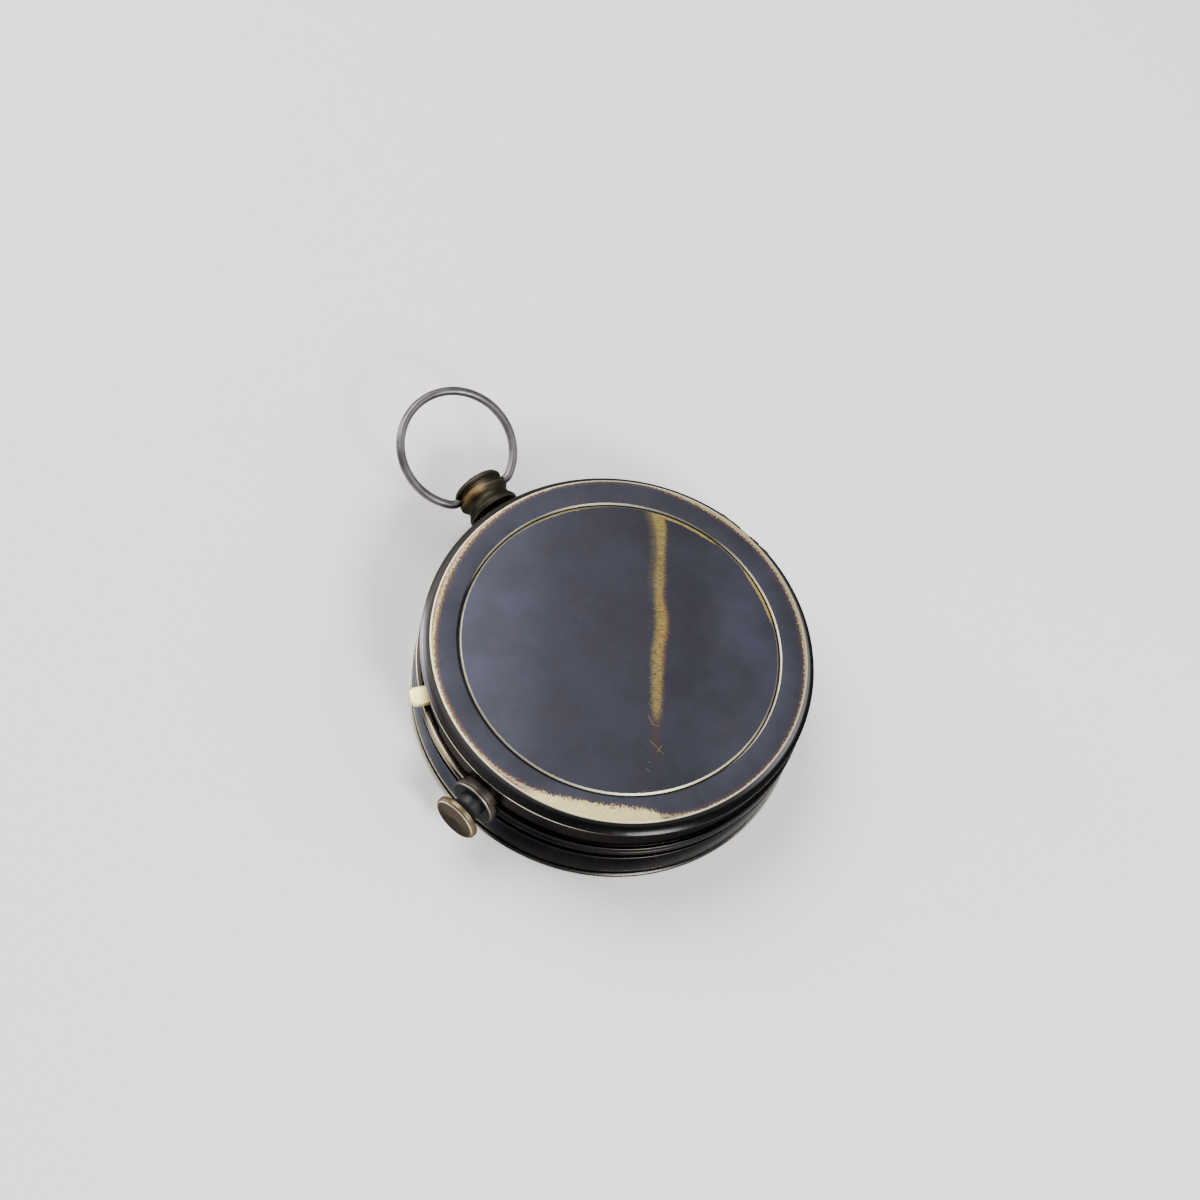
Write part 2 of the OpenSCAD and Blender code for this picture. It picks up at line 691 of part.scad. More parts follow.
// Bezel pressed into the bore, with the glass seat inside
module bezel_ring() {
    seat_z = glass_low - 0.15;
    color([0.75, 0.6, 0.3]) turned([
        [29.8, bezel_low + 0.6], [30.4, bezel_low], [bore_r, bezel_low], [bore_r, case_h],
        [bezel_flange_r, case_h], [bezel_flange_r, bezel_top - 0.4], [bezel_flange_r - 0.4, bezel_top],
        [glass_r + 0.4, bezel_top], [glass_r + 0.1, bezel_top - 0.3], [glass_r + 0.1, seat_z],
        [30.2, seat_z], [29.8, seat_z - 0.3]
    ]);
}

module glass_seal() {
    color([0.2, 0.2, 0.2]) turned([
        [30.3, glass_low - 0.15], [glass_r, glass_low - 0.15], [glass_r, glass_low], [30.3, glass_low]
    ]);
}

module glass() {
    color([0.8, 0.88, 0.9, 0.4]) turned([
        [0, glass_low], [glass_r, glass_low], [glass_r, glass_low + glass_t - 0.1],
        [glass_r - 0.1, glass_low + glass_t], [0, glass_low + glass_t]
    ]);
}

// Sprung wire ring over the glass's edge, split at the hinge side
module glass_retainer() {
    retainer_low = glass_low + glass_t;
    color([0.75, 0.6, 0.3]) difference() {
        turned([
            [30.6, retainer_low], [glass_r + 0.1, retainer_low],
            [glass_r + 0.1, retainer_low + 0.18], [30.7, retainer_low + 0.25]
        ]);
        around(hinge_angle) translate([29, -0.6, retainer_low - 1]) cube([4, 1.2, 3]);
    }
}

case_drum();
base_cover();
base_screws();
pendant();
bow_ring();
latch_collar();
latch_button();
catch_plate();
latch_spring();
spring_bracket();
bracket_screw();
case_hinge_knuckles();
lid_hinge_knuckles();
hinge_pin();
lid_rim();
lid_disc();
lock_ring();
lock_tab();
needle_lifter();
dial_pillars();
dial_plate();
degree_ring();
dial_screws();
pivot_post();
needle();
needle_cap();
needle_jewel();
needle_weight();
bezel_ring();
glass_seal();
glass();
glass_retainer();
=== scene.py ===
# Pocket compass in an antiqued brass drum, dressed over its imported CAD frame.
import math

import bmesh
import bpy
from mathutils import Matrix, Vector


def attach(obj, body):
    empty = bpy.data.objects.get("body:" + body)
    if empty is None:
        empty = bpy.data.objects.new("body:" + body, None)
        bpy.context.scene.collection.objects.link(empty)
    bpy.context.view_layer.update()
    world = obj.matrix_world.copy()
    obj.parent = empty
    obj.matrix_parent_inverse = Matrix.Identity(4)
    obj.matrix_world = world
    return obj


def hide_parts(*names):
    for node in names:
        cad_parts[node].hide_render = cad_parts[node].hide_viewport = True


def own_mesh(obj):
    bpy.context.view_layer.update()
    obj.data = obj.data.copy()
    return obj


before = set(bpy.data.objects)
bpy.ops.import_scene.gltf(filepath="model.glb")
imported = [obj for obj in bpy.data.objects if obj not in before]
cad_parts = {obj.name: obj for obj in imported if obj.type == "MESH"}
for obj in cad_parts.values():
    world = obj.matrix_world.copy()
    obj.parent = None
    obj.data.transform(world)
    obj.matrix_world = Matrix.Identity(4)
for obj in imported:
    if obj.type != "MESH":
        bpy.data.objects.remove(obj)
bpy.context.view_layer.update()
mm = 0.001

# Camera at the photograph's viewing angle. Its place comes from the lid's circles in the picture:
# the drum is seen from 61 degrees above its base, with the pendant toward the upper left.
camera_azimuth = math.radians(219.62)
camera_elevation = math.radians(60.98)
camera_roll = math.radians(18.13)
camera_place = Vector((-200.08, -157.28, 495.7)) * mm
camera_lens = 84.9
back = Vector((math.cos(camera_elevation) * math.cos(camera_azimuth),
               math.cos(camera_elevation) * math.sin(camera_azimuth),
               math.sin(camera_elevation)))
right = Vector((-math.sin(camera_azimuth), math.cos(camera_azimuth), 0))
facing = Matrix((right, back.cross(right), back)).transposed() @ Matrix.Rotation(camera_roll, 3, "Z")


def into_scene(name, data):
    """A new object with this data, put in the scene."""
    made = bpy.data.objects.new(name, data)
    bpy.context.scene.collection.objects.link(made)
    return made


camera_data = bpy.data.cameras.new("camera")
camera_data.lens = camera_lens
camera_data.sensor_width = 36
camera_data.clip_start = 0.01
camera = into_scene("camera", camera_data)
camera.matrix_world = Matrix.Translation(camera_place) @ facing.to_4x4()
bpy.context.scene.camera = camera


# Studio: a pale matt floor, a soft key light from behind the pendant, a fill, a low window light that
# runs along the turned edges, and a light in front whose glint lies along the lid's lower lip.
def feed(value, target):
    """Sets a node's input: to a plain value, or to what another node gives."""
    if isinstance(value, Flow):
        value.tree.links.new(value.socket, target)
    else:
        target.default_value = value


def add_node(near, kind, inputs):
    """A new node in the tree of another one's value, with its own inputs set."""
    made = near.tree.nodes.new("ShaderNode" + kind)
    for socket, value in inputs.items():
        feed(value, made.inputs[socket])
    return made


class Flow:
    """A number, place or colour in a material's node tree, so that a pattern is written as a sum."""

    def __init__(self, socket):
        self.socket = socket
        self.tree = socket.id_data

    def calc(self, operation, *others):
        made = add_node(self, "Math", dict(enumerate((self, *others))))
        made.operation = operation
        return Flow(made.outputs[0])

    def __add__(self, other):
        return self.calc("ADD", other)

    def __sub__(self, other):
        return self.calc("SUBTRACT", other)

    def __mul__(self, other):
        return self.calc("MULTIPLY", other)

    def __truediv__(self, other):
        return self.calc("DIVIDE", other)

    def most(self, *others):
        result = self
        for other in others:
            result = result.calc("MAXIMUM", other)
        return result

    def rise(self, low, high):
        """0 below low, 1 above high, with a soft step between them."""
        made = add_node(self, "MapRange", {"Value": self, "From Min": low, "From Max": high})
        made.interpolation_type = "SMOOTHSTEP"
        return Flow(made.outputs["Result"])

    def fall(self, low, high):
        return self.rise(low, high) * -1 + 1

    def follow(self, points, x_end, y_end):
        """The height of a smooth line through (x, y) points, for x from 0 to x_end and y up to y_end."""
        made = add_node(self, "FloatCurve", {"Value": self / x_end})
        line = made.mapping.curves[0].points
        places = [(x / x_end, y / y_end) for x, y in points]
        line[0].location = places[0]
        line[1].location = places[-1]
        for place in places[1:-1]:
            line.new(*place)
        for point in line:
            point.handle_type = "AUTO_CLAMPED"
        made.mapping.update()
        return Flow(made.outputs["Value"]) * y_end


def mapped(place, socket, value):
    """A place that a Mapping node has stretched or turned."""
    return Flow(add_node(place, "Mapping", {"Vector": place, socket: value}).outputs["Vector"])


def noise(place, scale, detail=3.0, roughness=0.5, stretch=None):
    if stretch:
        place = mapped(place, "Scale", stretch)
    inputs = {"Vector": place, "Scale": scale, "Detail": detail, "Roughness": roughness}
    return Flow(add_node(place, "TexNoise", inputs).outputs["Fac"])


def blend(amount, low, high):
    """The colour low where amount is 0 and high where it is 1."""
    made = amount.tree.nodes.new("ShaderNodeMix")
    made.data_type = "RGBA"
    low_colour, high_colour, mixed = made.inputs[6], made.inputs[7], made.outputs[2]
    feed(amount, made.inputs["Factor"])
    for colour, target in ((low, low_colour), (high, high_colour)):
        feed(colour if isinstance(colour, Flow) else (*colour, 1), target)
    return Flow(mixed)


def start_finish(name, fixed):
    """A new material, and the place on the piece that its patterns follow. Fixed gives the shader's
    numbers that are the same all over the piece."""
    made = bpy.data.materials.new(name)
    made.use_nodes = True
    for socket, value in fixed.items():
        made.node_tree.nodes["Principled BSDF"].inputs[socket].default_value = value
    return made, Flow(made.node_tree.nodes.new("ShaderNodeTexCoord").outputs["Object"])


def end_finish(made, colour, roughness, height, depth, strength=1.0):
    """Gives a material its colour, its roughness and the relief of a pattern, to a depth in mm."""
    shader = made.node_tree.nodes["Principled BSDF"]
    bump = add_node(height, "Bump", {"Strength": strength, "Distance": depth * mm, "Height": height})
    feed(colour, shader.inputs["Base Color"])
    feed(roughness, shader.inputs["Roughness"])
    feed(Flow(bump.outputs["Normal"]), shader.inputs["Normal"])
    return made


def floor_paper():
    made, place = start_finish("floor_paper", {})
    grain = noise(place, 900, detail=4)
    shade = blend(grain, (0.72, 0.71, 0.69), (0.78, 0.77, 0.75))
    return end_finish(made, shade, 0.85, grain, 0.1, strength=0.3)


def turned(angle, axis="Z"):
    """A turn in degrees, about the drum's axis unless another is named."""
    return Matrix.Rotation(math.radians(angle), 4, axis)


def soft_light(name, azimuth, elevation, distance, size, watts, colour):
    """A round lamp that looks at the drum from an azimuth and elevation in degrees."""
    lamp = bpy.data.lights.new(name, "AREA")
    lamp.shape = "DISK"
    lamp.size = size
    lamp.energy = watts
    lamp.color = colour
    away = turned(azimuth) @ turned(-elevation, "Y") @ Vector((1, 0, 0))
    made = into_scene(name, lamp)
    made.location = away * distance
    made.rotation_euler = away.to_track_quat("Z", "Y").to_euler()
    made.visible_camera = False


floor_half = 1.5
floor_drop = 0.02 * mm
floor_shape = bmesh.new()
bmesh.ops.create_grid(floor_shape, x_segments=1, y_segments=1, size=floor_half)
bmesh.ops.translate(floor_shape, verts=floor_shape.verts, vec=(0, 0, -floor_drop))
floor_mesh = bpy.data.meshes.new("floor")
floor_shape.to_mesh(floor_mesh)
floor_shape.free()
floor_mesh.materials.append(floor_paper())
into_scene("floor", floor_mesh)
soft_light("key_light", 95, 56, 0.9, 0.7, 12, (1.0, 0.985, 0.97))
soft_light("window_light", 120, 10, 0.9, 0.3, 4, (0.96, 0.98, 1.0))
soft_light("fill_light", 320, 40, 1.0, 0.6, 4, (0.93, 0.96, 1.0))
soft_light("front_light", 262, 42, 0.8, 0.24, 8, (1.0, 1.0, 1.0))
world = bpy.data.worlds.new("studio")
world.use_nodes = True
sky = world.node_tree.nodes["Background"]
sky.inputs["Color"].default_value = (0.80, 0.83, 0.90, 1)
sky.inputs["Strength"].default_value = 0.6
bpy.context.scene.world = world


# Case drum: turned and bored from one brass casting, with a lower band, a deep groove, a bead and a
# wall that runs up under the lid. A chemical bath has turned it nearly black, and handling has rubbed
# the bead beside the push button back to bare metal. On one side a blue-grey painted reflection lightens it.
drum_r = 38.0
bead_r = 38.15
groove_r = 36.9
neck_r = 37.3
bore_r = 32.4
lower_bore_r = 34.6
rib_r = 27.0
rib_w = 1.6
rib_h = 0.9
base_h = 3.1
band_top = 9.1
bead_low = 11.1
bead_line_z = 12.4
bead_line_half = 0.17
bead_top = 13.7
web_low = 12.9
floor_z = 14.2
case_h = 19.5
pendant_angle = 90.0
button_angle = 193.4
hinge_angle = button_angle - 180
tab_angle = 160.5
fitting_z = 10.8
hinge_r = 36.9
hinge_z = 19.55
hinge_notch_r = 1.4
hinge_notch_half = 6.1
past_wall = 40.0
past_top = 25.0
channel_half = 2.15
channel_low = 8.65
channel_back = 35.0
collar_seat = 36.95
collar_seat_r = 4.95
collar_neck_r = 3.0
pendant_seat_r = 3.7
slot_low = 14.5
slot_top = 16.2
slot_start = tab_angle - 4.3
slot_end = tab_angle + 11.5
crease = math.radians(30)
metallic = {"Metallic": 1.0}
oxide_black = (0.006, 0.006, 0.008)
oxide_brown = (0.015, 0.012, 0.011)
# A lighter blue-grey painted reflection, laid on the lit side of the lower band.
painted_reflection_blue = (0.062, 0.066, 0.098)
rubbed_brown = (0.052, 0.042, 0.035)
bare_brass = (0.64, 0.52, 0.29)
# Pale edge colour, for worn edges and painted highlights alike.
pale_brass = (0.76, 0.70, 0.52)


def bowed(start, end, bulge, steps=12):
    """Points from start to end, both kept, that stand off the straight line by bulge to its left."""
    a, b = Vector(start), Vector(end)
    side = Vector((a.y - b.y, b.x - a.x)).normalized()
    shares = [step / steps for step in range(steps + 1)]
    return [tuple(a.lerp(b, share) + side * bulge * math.sin(math.pi * share)) for share in shares]


def rounded(corners, steps=4):
    """An outline in mm from (radius, height) corners. A third number rounds its corner to that radius."""
    points = []
    for i, corner in enumerate(corners):
        here = Vector(corner[:2])
        if len(corner) < 3:
            points.append(here)
            continue
        before = (Vector(corners[i - 1][:2]) - here).normalized()
        after = (Vector(corners[(i + 1) % len(corners)][:2]) - here).normalized()
        half = before.angle(after) / 2
        centre = here + (before + after).normalized() * corner[2] / math.sin(half)
        start = here + before * corner[2] / math.tan(half) - centre
        end = here + after * corner[2] / math.tan(half) - centre
        turn = start.angle_signed(end)
        points += [centre + Matrix.Rotation(-turn * k / steps, 2) @ start for k in range(steps + 1)]
    return points


def link_piece(name, shape):
    """Closes a shape's seams, turns its faces outwards, shades it and makes it a piece."""
    bmesh.ops.remove_doubles(shape, verts=shape.verts, dist=0.0003 * mm)
    bmesh.ops.recalc_face_normals(shape, faces=shape.faces)
    mesh = bpy.data.meshes.new(name)
    shape.to_mesh(mesh)
    shape.free()
    mesh.shade_smooth()
    mesh.set_sharp_from_angle(angle=crease)
    return into_scene(name, mesh)


in_place = Matrix.Identity(4)


def lathe(points, steps=240, turn=in_place):
    """An outline of (radius, height) points in mm, spun round the Z axis and then turned into place."""
    shape = bmesh.new()
    corners = [shape.verts.new((p[0] * mm, 0, p[1] * mm)) for p in points]
    rims = [shape.edges.new(pair) for pair in zip(corners, corners[1:])]
    if points[0][0] > 0:
        rims.append(shape.edges.new((corners[-1], corners[0])))
    bmesh.ops.spin(shape, geom=corners + rims, cent=(0, 0, 0), axis=(0, 0, 1),
                   angle=math.tau, steps=steps, use_merge=True)
    bmesh.ops.transform(shape, matrix=turn, verts=shape.verts)
    return shape


def turned_piece(name, corners, steps=240, turn=in_place, corner_steps=4):
    """A piece from the outline that its lathe tool would follow."""
    return link_piece(name, lathe(rounded(corners, corner_steps), steps, turn))


def moved(x, y, z):
    return Matrix.Translation((x * mm, y * mm, z * mm))


def outward(angle):
    """Lays a shape's Z axis outward through a fitting, so that its heights count from the drum's axis."""
    return turned(angle) @ moved(0, 0, fitting_z) @ turned(90, "Y")


def along_hinge():
    """Lays a shape's Z axis along the hinge's pin."""
    return turned(hinge_angle) @ moved(hinge_r, 0, hinge_z) @ turned(90, "X")


def block(low, high, angle=0.0):
    """A box between two corners in mm, turned about the drum's axis."""
    shape = bmesh.new()
    bmesh.ops.create_cube(shape, size=mm)
    low, high = Vector(low), Vector(high)
    bmesh.ops.scale(shape, vec=high - low, verts=shape.verts)
    bmesh.ops.translate(shape, vec=(low + high) / 2 * mm, verts=shape.verts)
    bmesh.ops.transform(shape, matrix=turned(angle), verts=shape.verts)
    return shape


def rod(radius, start, end, turn=in_place):
    """A round rod along its own axis between two heights in mm."""
    return lathe([(0, start), (radius, start), (radius, end), (0, end)], steps=96, turn=turn)


def swept_block(inner, outer, low, high, start, stop, steps=24):
    """A rectangular section swept round the drum from one angle to another."""
    shape = bmesh.new()
    section = ((inner, low), (outer, low), (outer, high), (inner, high))
    end_face = shape.faces.new([shape.verts.new((r * mm, 0, z * mm)) for r, z in section])
    bmesh.ops.transform(shape, matrix=turned(start), verts=shape.verts)
    bmesh.ops.spin(shape, geom=[end_face], cent=(0, 0, 0), axis=(0, 0, 1),
                   angle=math.radians(stop - start), steps=steps, use_merge=False)
    return shape


def combine(piece, operation, tools):
    """Mills tools out of a piece, or joins them to it, and shades it again."""
    for tool in tools:
        helper = link_piece("tool", tool)
        change = piece.modifiers.new("combine", "BOOLEAN")
        change.operation = operation
        change.solver = "EXACT"
        change.object = helper
        done = bpy.data.meshes.new_from_object(piece.evaluated_get(bpy.context.evaluated_depsgraph_get()))
        piece.modifiers.clear()
        piece.data = done
        bpy.data.objects.remove(helper)
    piece.data.shade_smooth()
    piece.data.set_sharp_from_angle(angle=crease)


def seat(piece, cad_node, body, finish):
    """Puts a finished piece in the place of a CAD node, on the body that carries it."""
    piece.data.materials.clear()
    piece.data.materials.append(finish)
    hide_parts(cad_node)
    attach(piece, body)


def parts_of(place):
    """The x, y and z of a place, in mm."""
    return [Flow(socket) / mm for socket in add_node(place, "SeparateXYZ", {0: place}).outputs]


def joined(x, y, z=0.0):
    return Flow(add_node(x, "CombineXYZ", {0: x, 1: y, 2: z}).outputs[0])


def reach(x, y):
    """How far a point lies from an axis, going by its two distances across it."""
    return (x * x + y * y).calc("SQRT")


class Spot:
    """Where each point of a turned piece lies: its radius and height in mm, and its angle from 0 to
    360, about the drum's axis or that of a fitting. Two noises go with it, which its masks share."""

    def __init__(self, place, fitting=None):
        self.place = place
        self.clouds = noise(place, 80, detail=4, roughness=0.6)
        self.fray = noise(place, 2400, detail=4, roughness=0.7)
        if fitting is None:
            x, y, self.height = parts_of(place)
        else:
            self.height, x, z = parts_of(mapped(place, "Rotation", (0, 0, math.radians(-fitting))))
            y = z - fitting_z
        self.radius = reach(x, y)
        self.angle = (y.calc("ARCTAN2", x) / math.tau).calc("FRACT") * 360

    def around(self, turns, across, detail=4):
        """A noise that follows the lathe, as fine round the axis as turns says, and over it as across."""
        turn = self.angle.calc("RADIANS")
        over = (self.radius + self.height) * across
        lathed = joined(turn.calc("COSINE") * turns, turn.calc("SINE") * turns, over)
        return noise(lathed, 1.0, detail, roughness=0.7)

    def arc(self, start, stop, soft):
        """1 along the arc between two angles round the axis, with soft ends."""
        middle = (start + stop) / 2
        half = (stop - start) / 2
        off = ((self.angle - middle + 180) / 360).calc("FRACT") * 360 - 180
        return off.calc("ABSOLUTE").fall(half - soft, half + soft)

    def glint(self, ring_r, ring_z, width):
        """1 on a turned edge, down to 0 about a width in mm away from it, frayed by a noise."""
        far = reach(self.radius - ring_r, self.height - ring_z)
        return (far / ((self.fray + 0.5) * width)).fall(0.7, 1.15)


def oxidised_brass(name, dark, light, rough, edges, wear=None, tint=None, gloss=None,
                   fitting=None, worn=bare_brass):
    """Brass under a dark oxide. Edges gives the masks of turned edges painted pale, partly worn brass and
    partly painted highlights, and wear those of metal rubbed bare. Tint gives (mask, colour) pairs that
    stain the oxide or paint shade and reflections on it, and gloss marks where it is lacquered smooth."""
    made, place = start_finish(name, {**metallic, "Specular Tint": (0.5, 0.5, 0.5, 1)})
    spot = Spot(place, fitting)
    specks = noise(place, 1300, detail=3, roughness=0.65)
    shade = blend(spot.clouds.rise(0.32, 0.68), dark, light)
    for amount, colour in tint(spot) if tint else ():
        shade = blend(amount, shade, colour)
    shade = blend(specks.rise(0.60, 0.78) * 0.3, shade, tuple(c * 1.6 for c in light))
    nowhere = specks * 0
    rubbed = nowhere.most(*wear(spot)) if wear else nowhere
    shade = blend(rubbed, shade, blend(specks.rise(0.35, 0.7), worn, tuple(c * 0.8 for c in worn)))
    # Pale edges: partly worn brass, partly painted highlights.
    polish_and_highlight = nowhere.most(*edges(spot))
    bare = rubbed.most(polish_and_highlight)
    dullness = spot.clouds * 0.12 + specks * 0.08 + rough - bare * 0.05
    if gloss:
        dullness = dullness - gloss(spot) * 0.14
    tool_lines = spot.around(2.0, 8.0) * 0.5 + specks * 0.5 - bare * 0.3
    return end_finish(made, blend(polish_and_highlight, shade, pale_brass), dullness, tool_lines, 0.004)


def drum_edges(spot):
    """Pale worn lines on the bead and the band's edges, bright on the tab's side as painted highlights,
    faint elsewhere.
    """
    # The tab's side faces the lamps: its lines are brightened as painted highlights.
    tab_side = spot.arc(95, 193, 8)
    return [spot.glint(bead_r, bead_low + 0.3, 0.22) * (tab_side * 0.75 + 0.01),
            spot.glint(bead_r, bead_top - 0.1, 0.2) * (tab_side * 0.5 + 0.02),
            spot.glint(drum_r, base_h + 0.12, 0.22) * (tab_side * 0.8 + 0.02),
            spot.glint(drum_r, band_top, 0.2) * 0.02]


def bead_wear(spot):
    """The bead, rubbed to bare metal between the tab and the push button."""
    low = (spot.height - spot.fray * 0.8).rise(bead_low - 0.1, bead_low + 0.2)
    on_bead = low * spot.height.fall(bead_top, bead_top + 0.05) * spot.radius.rise(37.6, 37.7)
    return [on_bead * spot.arc(168, 181, 4) * 0.75]


def drum_tint(spot):
    """On the tab's side, which faces the lamps, a blue-grey painted reflection lightens the lower band, and
    the upper wall has a browner oxide.
    """
    band = spot.arc(118, 194, 14) * spot.height.fall(band_top - 0.1, band_top + 0.05)
    wall = spot.arc(60, 200, 20) * spot.height.rise(bead_top - 0.1, bead_top + 0.1)
    # Painted reflection: the lower band is lighter and bluer on the lit side.
    return [(band * (spot.clouds * 0.5 + 0.65), painted_reflection_blue),
            (wall * (spot.fray * 1.4 - 0.1), rubbed_brown)]


rib_inner_r = rib_r - rib_w
rib_top = floor_z + rib_h
drum = turned_piece("drum", (
    (0, web_low), (lower_bore_r, web_low), (lower_bore_r, base_h, 0.1), (drum_r, base_h, 0.22),
    (drum_r, band_top, 0.22), (groove_r, band_top, 0.1), (groove_r, bead_low, 0.1), (bead_r, bead_low, 0.3),
    (bead_r, bead_line_z - bead_line_half, 0.05), (bead_r - 0.3, bead_line_z),
    (bead_r, bead_line_z + bead_line_half, 0.05), (bead_r, bead_top, 0.3), (neck_r, bead_top, 0.1),
    (neck_r, case_h, 0.2), (bore_r, case_h, 0.1),
    (bore_r, floor_z), (rib_r, floor_z), (rib_r, rib_top, 0.1), (rib_inner_r, rib_top, 0.1),
    (rib_inner_r, floor_z), (0, floor_z)))
combine(drum, "DIFFERENCE", (
    rod(collar_seat_r, collar_seat, past_wall, outward(button_angle)),
    rod(collar_neck_r, channel_back - 0.01, past_wall, outward(button_angle)),
    block((bore_r - 1, -channel_half, channel_low), (channel_back, channel_half, past_top), button_angle),
    rod(pendant_seat_r, groove_r, past_wall, outward(pendant_angle)),
    swept_block(bore_r - 0.5, past_wall, slot_low, slot_top, slot_start, slot_end),
    rod(hinge_notch_r, -hinge_notch_half, hinge_notch_half, along_hinge())))
seat(drum, "case_drum", "case", oxidised_brass(
    "oxidised_drum_brass", oxide_black, oxide_brown, 0.16, drum_edges, wear=bead_wear, tint=drum_tint))

# Base cover: a turned brass plate with a groove round its rim and a spigot inside the drum, held by
# three countersunk brass screws. Its two rim edges show as thin gold lines.
base_r = 38.195
foot_r = 37.55
base_groove_r = base_r - 0.4
base_groove_low = 1.3
base_groove_top = 2.4
base_top_r = base_r - 0.15
base_plate_t = 2.0
spigot_r = 34.55
spigot_inner_r = 32.95
spigot_top = 3.9
base_screw_circle = 36.2
base_screw_angles = (30, 150, 270)
base_screw_hole_r = 1.37
base_screw_depth = 0.27


def base_edges(spot):
    """The lower lip and, fainter, the upper edge: worn lines, bright as painted highlights on the tab's side
    and on the right.
    """
    # Painted highlights: brighter on the tab's side and again on the right.
    here = spot.arc(95, 196, 8).most(spot.arc(285, 335, 15) * 0.25) + 0.04
    low = spot.glint(base_r, 0.85, 0.45)
    high = spot.glint(base_top_r, base_h - 0.15, 0.2) * 0.5
    return [low.most(high) * here]


base = turned_piece("base", (
    (0, 0), (foot_r, 0, 0.15), (base_r, 0.45, 0.2), (base_r, base_groove_low - 0.2, 0.1),
    (base_groove_r, base_groove_low, 0.08), (base_groove_r, base_groove_top, 0.08),
    (base_top_r, base_groove_top + 0.2, 0.08), (base_top_r, base_h, 0.12), (spigot_r, base_h),
    (spigot_r, spigot_top, 0.1), (spigot_inner_r, spigot_top, 0.1), (spigot_inner_r, base_plate_t),
    (0, base_plate_t)))
combine(base, "DIFFERENCE", [
    rod(base_screw_hole_r, -1, base_screw_depth, turned(angle) @ moved(base_screw_circle, 0, 0))
    for angle in base_screw_angles])
seat(base, "base_cover", "case", oxidised_brass(
    "oxidised_base_brass", oxide_black, oxide_brown, 0.18, base_edges))


def softened(cad_node, name, width, segments=2):
    """A copy of a CAD node's mesh, merged, its flat faces joined and its sharp edges rounded."""
    shape = bmesh.new()
    shape.from_mesh(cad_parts[cad_node].data)
    bmesh.ops.remove_doubles(shape, verts=shape.verts, dist=0.002 * mm)
    bmesh.ops.dissolve_limit(shape, angle_limit=math.radians(1), verts=shape.verts, edges=shape.edges)
    sharp = [edge for edge in shape.edges if len(edge.link_faces) == 2 and edge.calc_face_angle() > crease]
    bmesh.ops.bevel(shape, geom=sharp, offset=width * mm, offset_type="OFFSET", affect="EDGES",
                    segments=segments, profile=0.5, material=-1, clamp_overlap=True)
    return link_piece(name, shape)


def seat_softened(cad_node, name, width, body, finish, segments=2):
    """Puts such a copy in the place of its own node."""
    seat(softened(cad_node, name, width, segments), cad_node, body, finish)


def clean_metal(name, colour, stain, rough, tarnish=0.35):
    """Bare turned or stamped metal: fine tool lines, faint stains and a duller skin in patches."""
    made, place = start_finish(name, metallic)
    clouds = noise(place, 260, detail=4, roughness=0.6)
    specks = noise(place, 2200, detail=3, roughness=0.7)
    strokes = noise(place, 2400, detail=2, stretch=(1, 0.05, 1))
    dull = clouds.rise(0.45, 0.75) * tarnish + specks.rise(0.6, 0.8) * tarnish * 0.5
    roughness = clouds * 0.15 + strokes * 0.08 + rough + dull * 0.2
    return end_finish(made, blend(dull, colour, stain), roughness, strokes * 0.6 + specks * 0.4, 0.003)


brass = clean_metal("turned_brass", (0.66, 0.47, 0.19), (0.34, 0.23, 0.10), 0.22)
steel = clean_metal("ground_steel", (0.50, 0.50, 0.50), (0.26, 0.24, 0.22), 0.25)
seat_softened("base_screws", "base_screw_heads", 0.04, "case", clean_metal(
    "base_screw_brass", (0.40, 0.30, 0.14), (0.10, 0.08, 0.06), 0.3, tarnish=0.7))

# Pendant: a turned brass spool screwed into the drum's groove, with a groove and a cross hole for the
# bow. Its oxide has worn to orange-brown bronze on the shoulder, brightened there by a painted highlight.
bow_pivot_r = 46.3
stud_r = 2.2
foot_neck_r = 3.6
spool_r = 5.2
flange_low = 41.0
flange_top = 42.0
shoulder_z = 44.95
cap_groove_r = 4.7
cap_groove_z = 45.9
cap_rim_z = 47.4
cap_top = 48.8
cross_hole_r = 0.6
cross_hole_in = 3.6
cross_hole_out = 6.6
at_bow_pivot = moved(0, bow_pivot_r, fitting_z)


def shoulder_wear(spot):
    """The shoulder's fullest turn, warm bronze on the tab's side: partly worn metal, partly a painted
    highlight.
    """
    return [spot.glint(spool_r + 0.15, bow_pivot_r - 1.1, 1.0) * spot.arc(20, 75, 20) * 0.22]


def pendant_edges(spot):
    """Faint lines round the flange, the shoulder and the cap."""
    return [spot.glint(spool_r, flange_low + 0.2, 0.2) * 0.04,
            spot.glint(spool_r + 0.1, shoulder_z, 0.15) * 0.05,
            spot.glint(spool_r, cap_rim_z, 0.2) * 0.06]


pendant = turned_piece("pendant_spool", (
    (0, lower_bore_r), (stud_r, lower_bore_r), (stud_r, groove_r), (foot_neck_r, groove_r),
    (foot_neck_r, 38.4, 0.1), *bowed((3.3, 38.9), (4.7, flange_low - 0.3), 0.35),
    (spool_r, flange_low, 0.12),
    *bowed((spool_r, flange_low + 0.2), (spool_r, flange_top - 0.1), -0.12)[1:-1],
    (spool_r, flange_top, 0.1), (5.0, flange_top + 0.2),
    *bowed((5.02, flange_top + 0.3), (5.15, shoulder_z - 0.25), 0.55)[1:], (5.3, shoulder_z, 0.1),
    (5.22, cap_groove_z - 0.15, 0.1), (cap_groove_r, cap_groove_z, 0.06),
    (cap_groove_r, cap_groove_z + 0.8, 0.06), (5.1, cap_rim_z - 0.5, 0.1), (spool_r, cap_rim_z, 0.12),
    *bowed((4.9, cap_rim_z + 0.5), (0, cap_top), -0.35)), steps=160, turn=outward(pendant_angle))
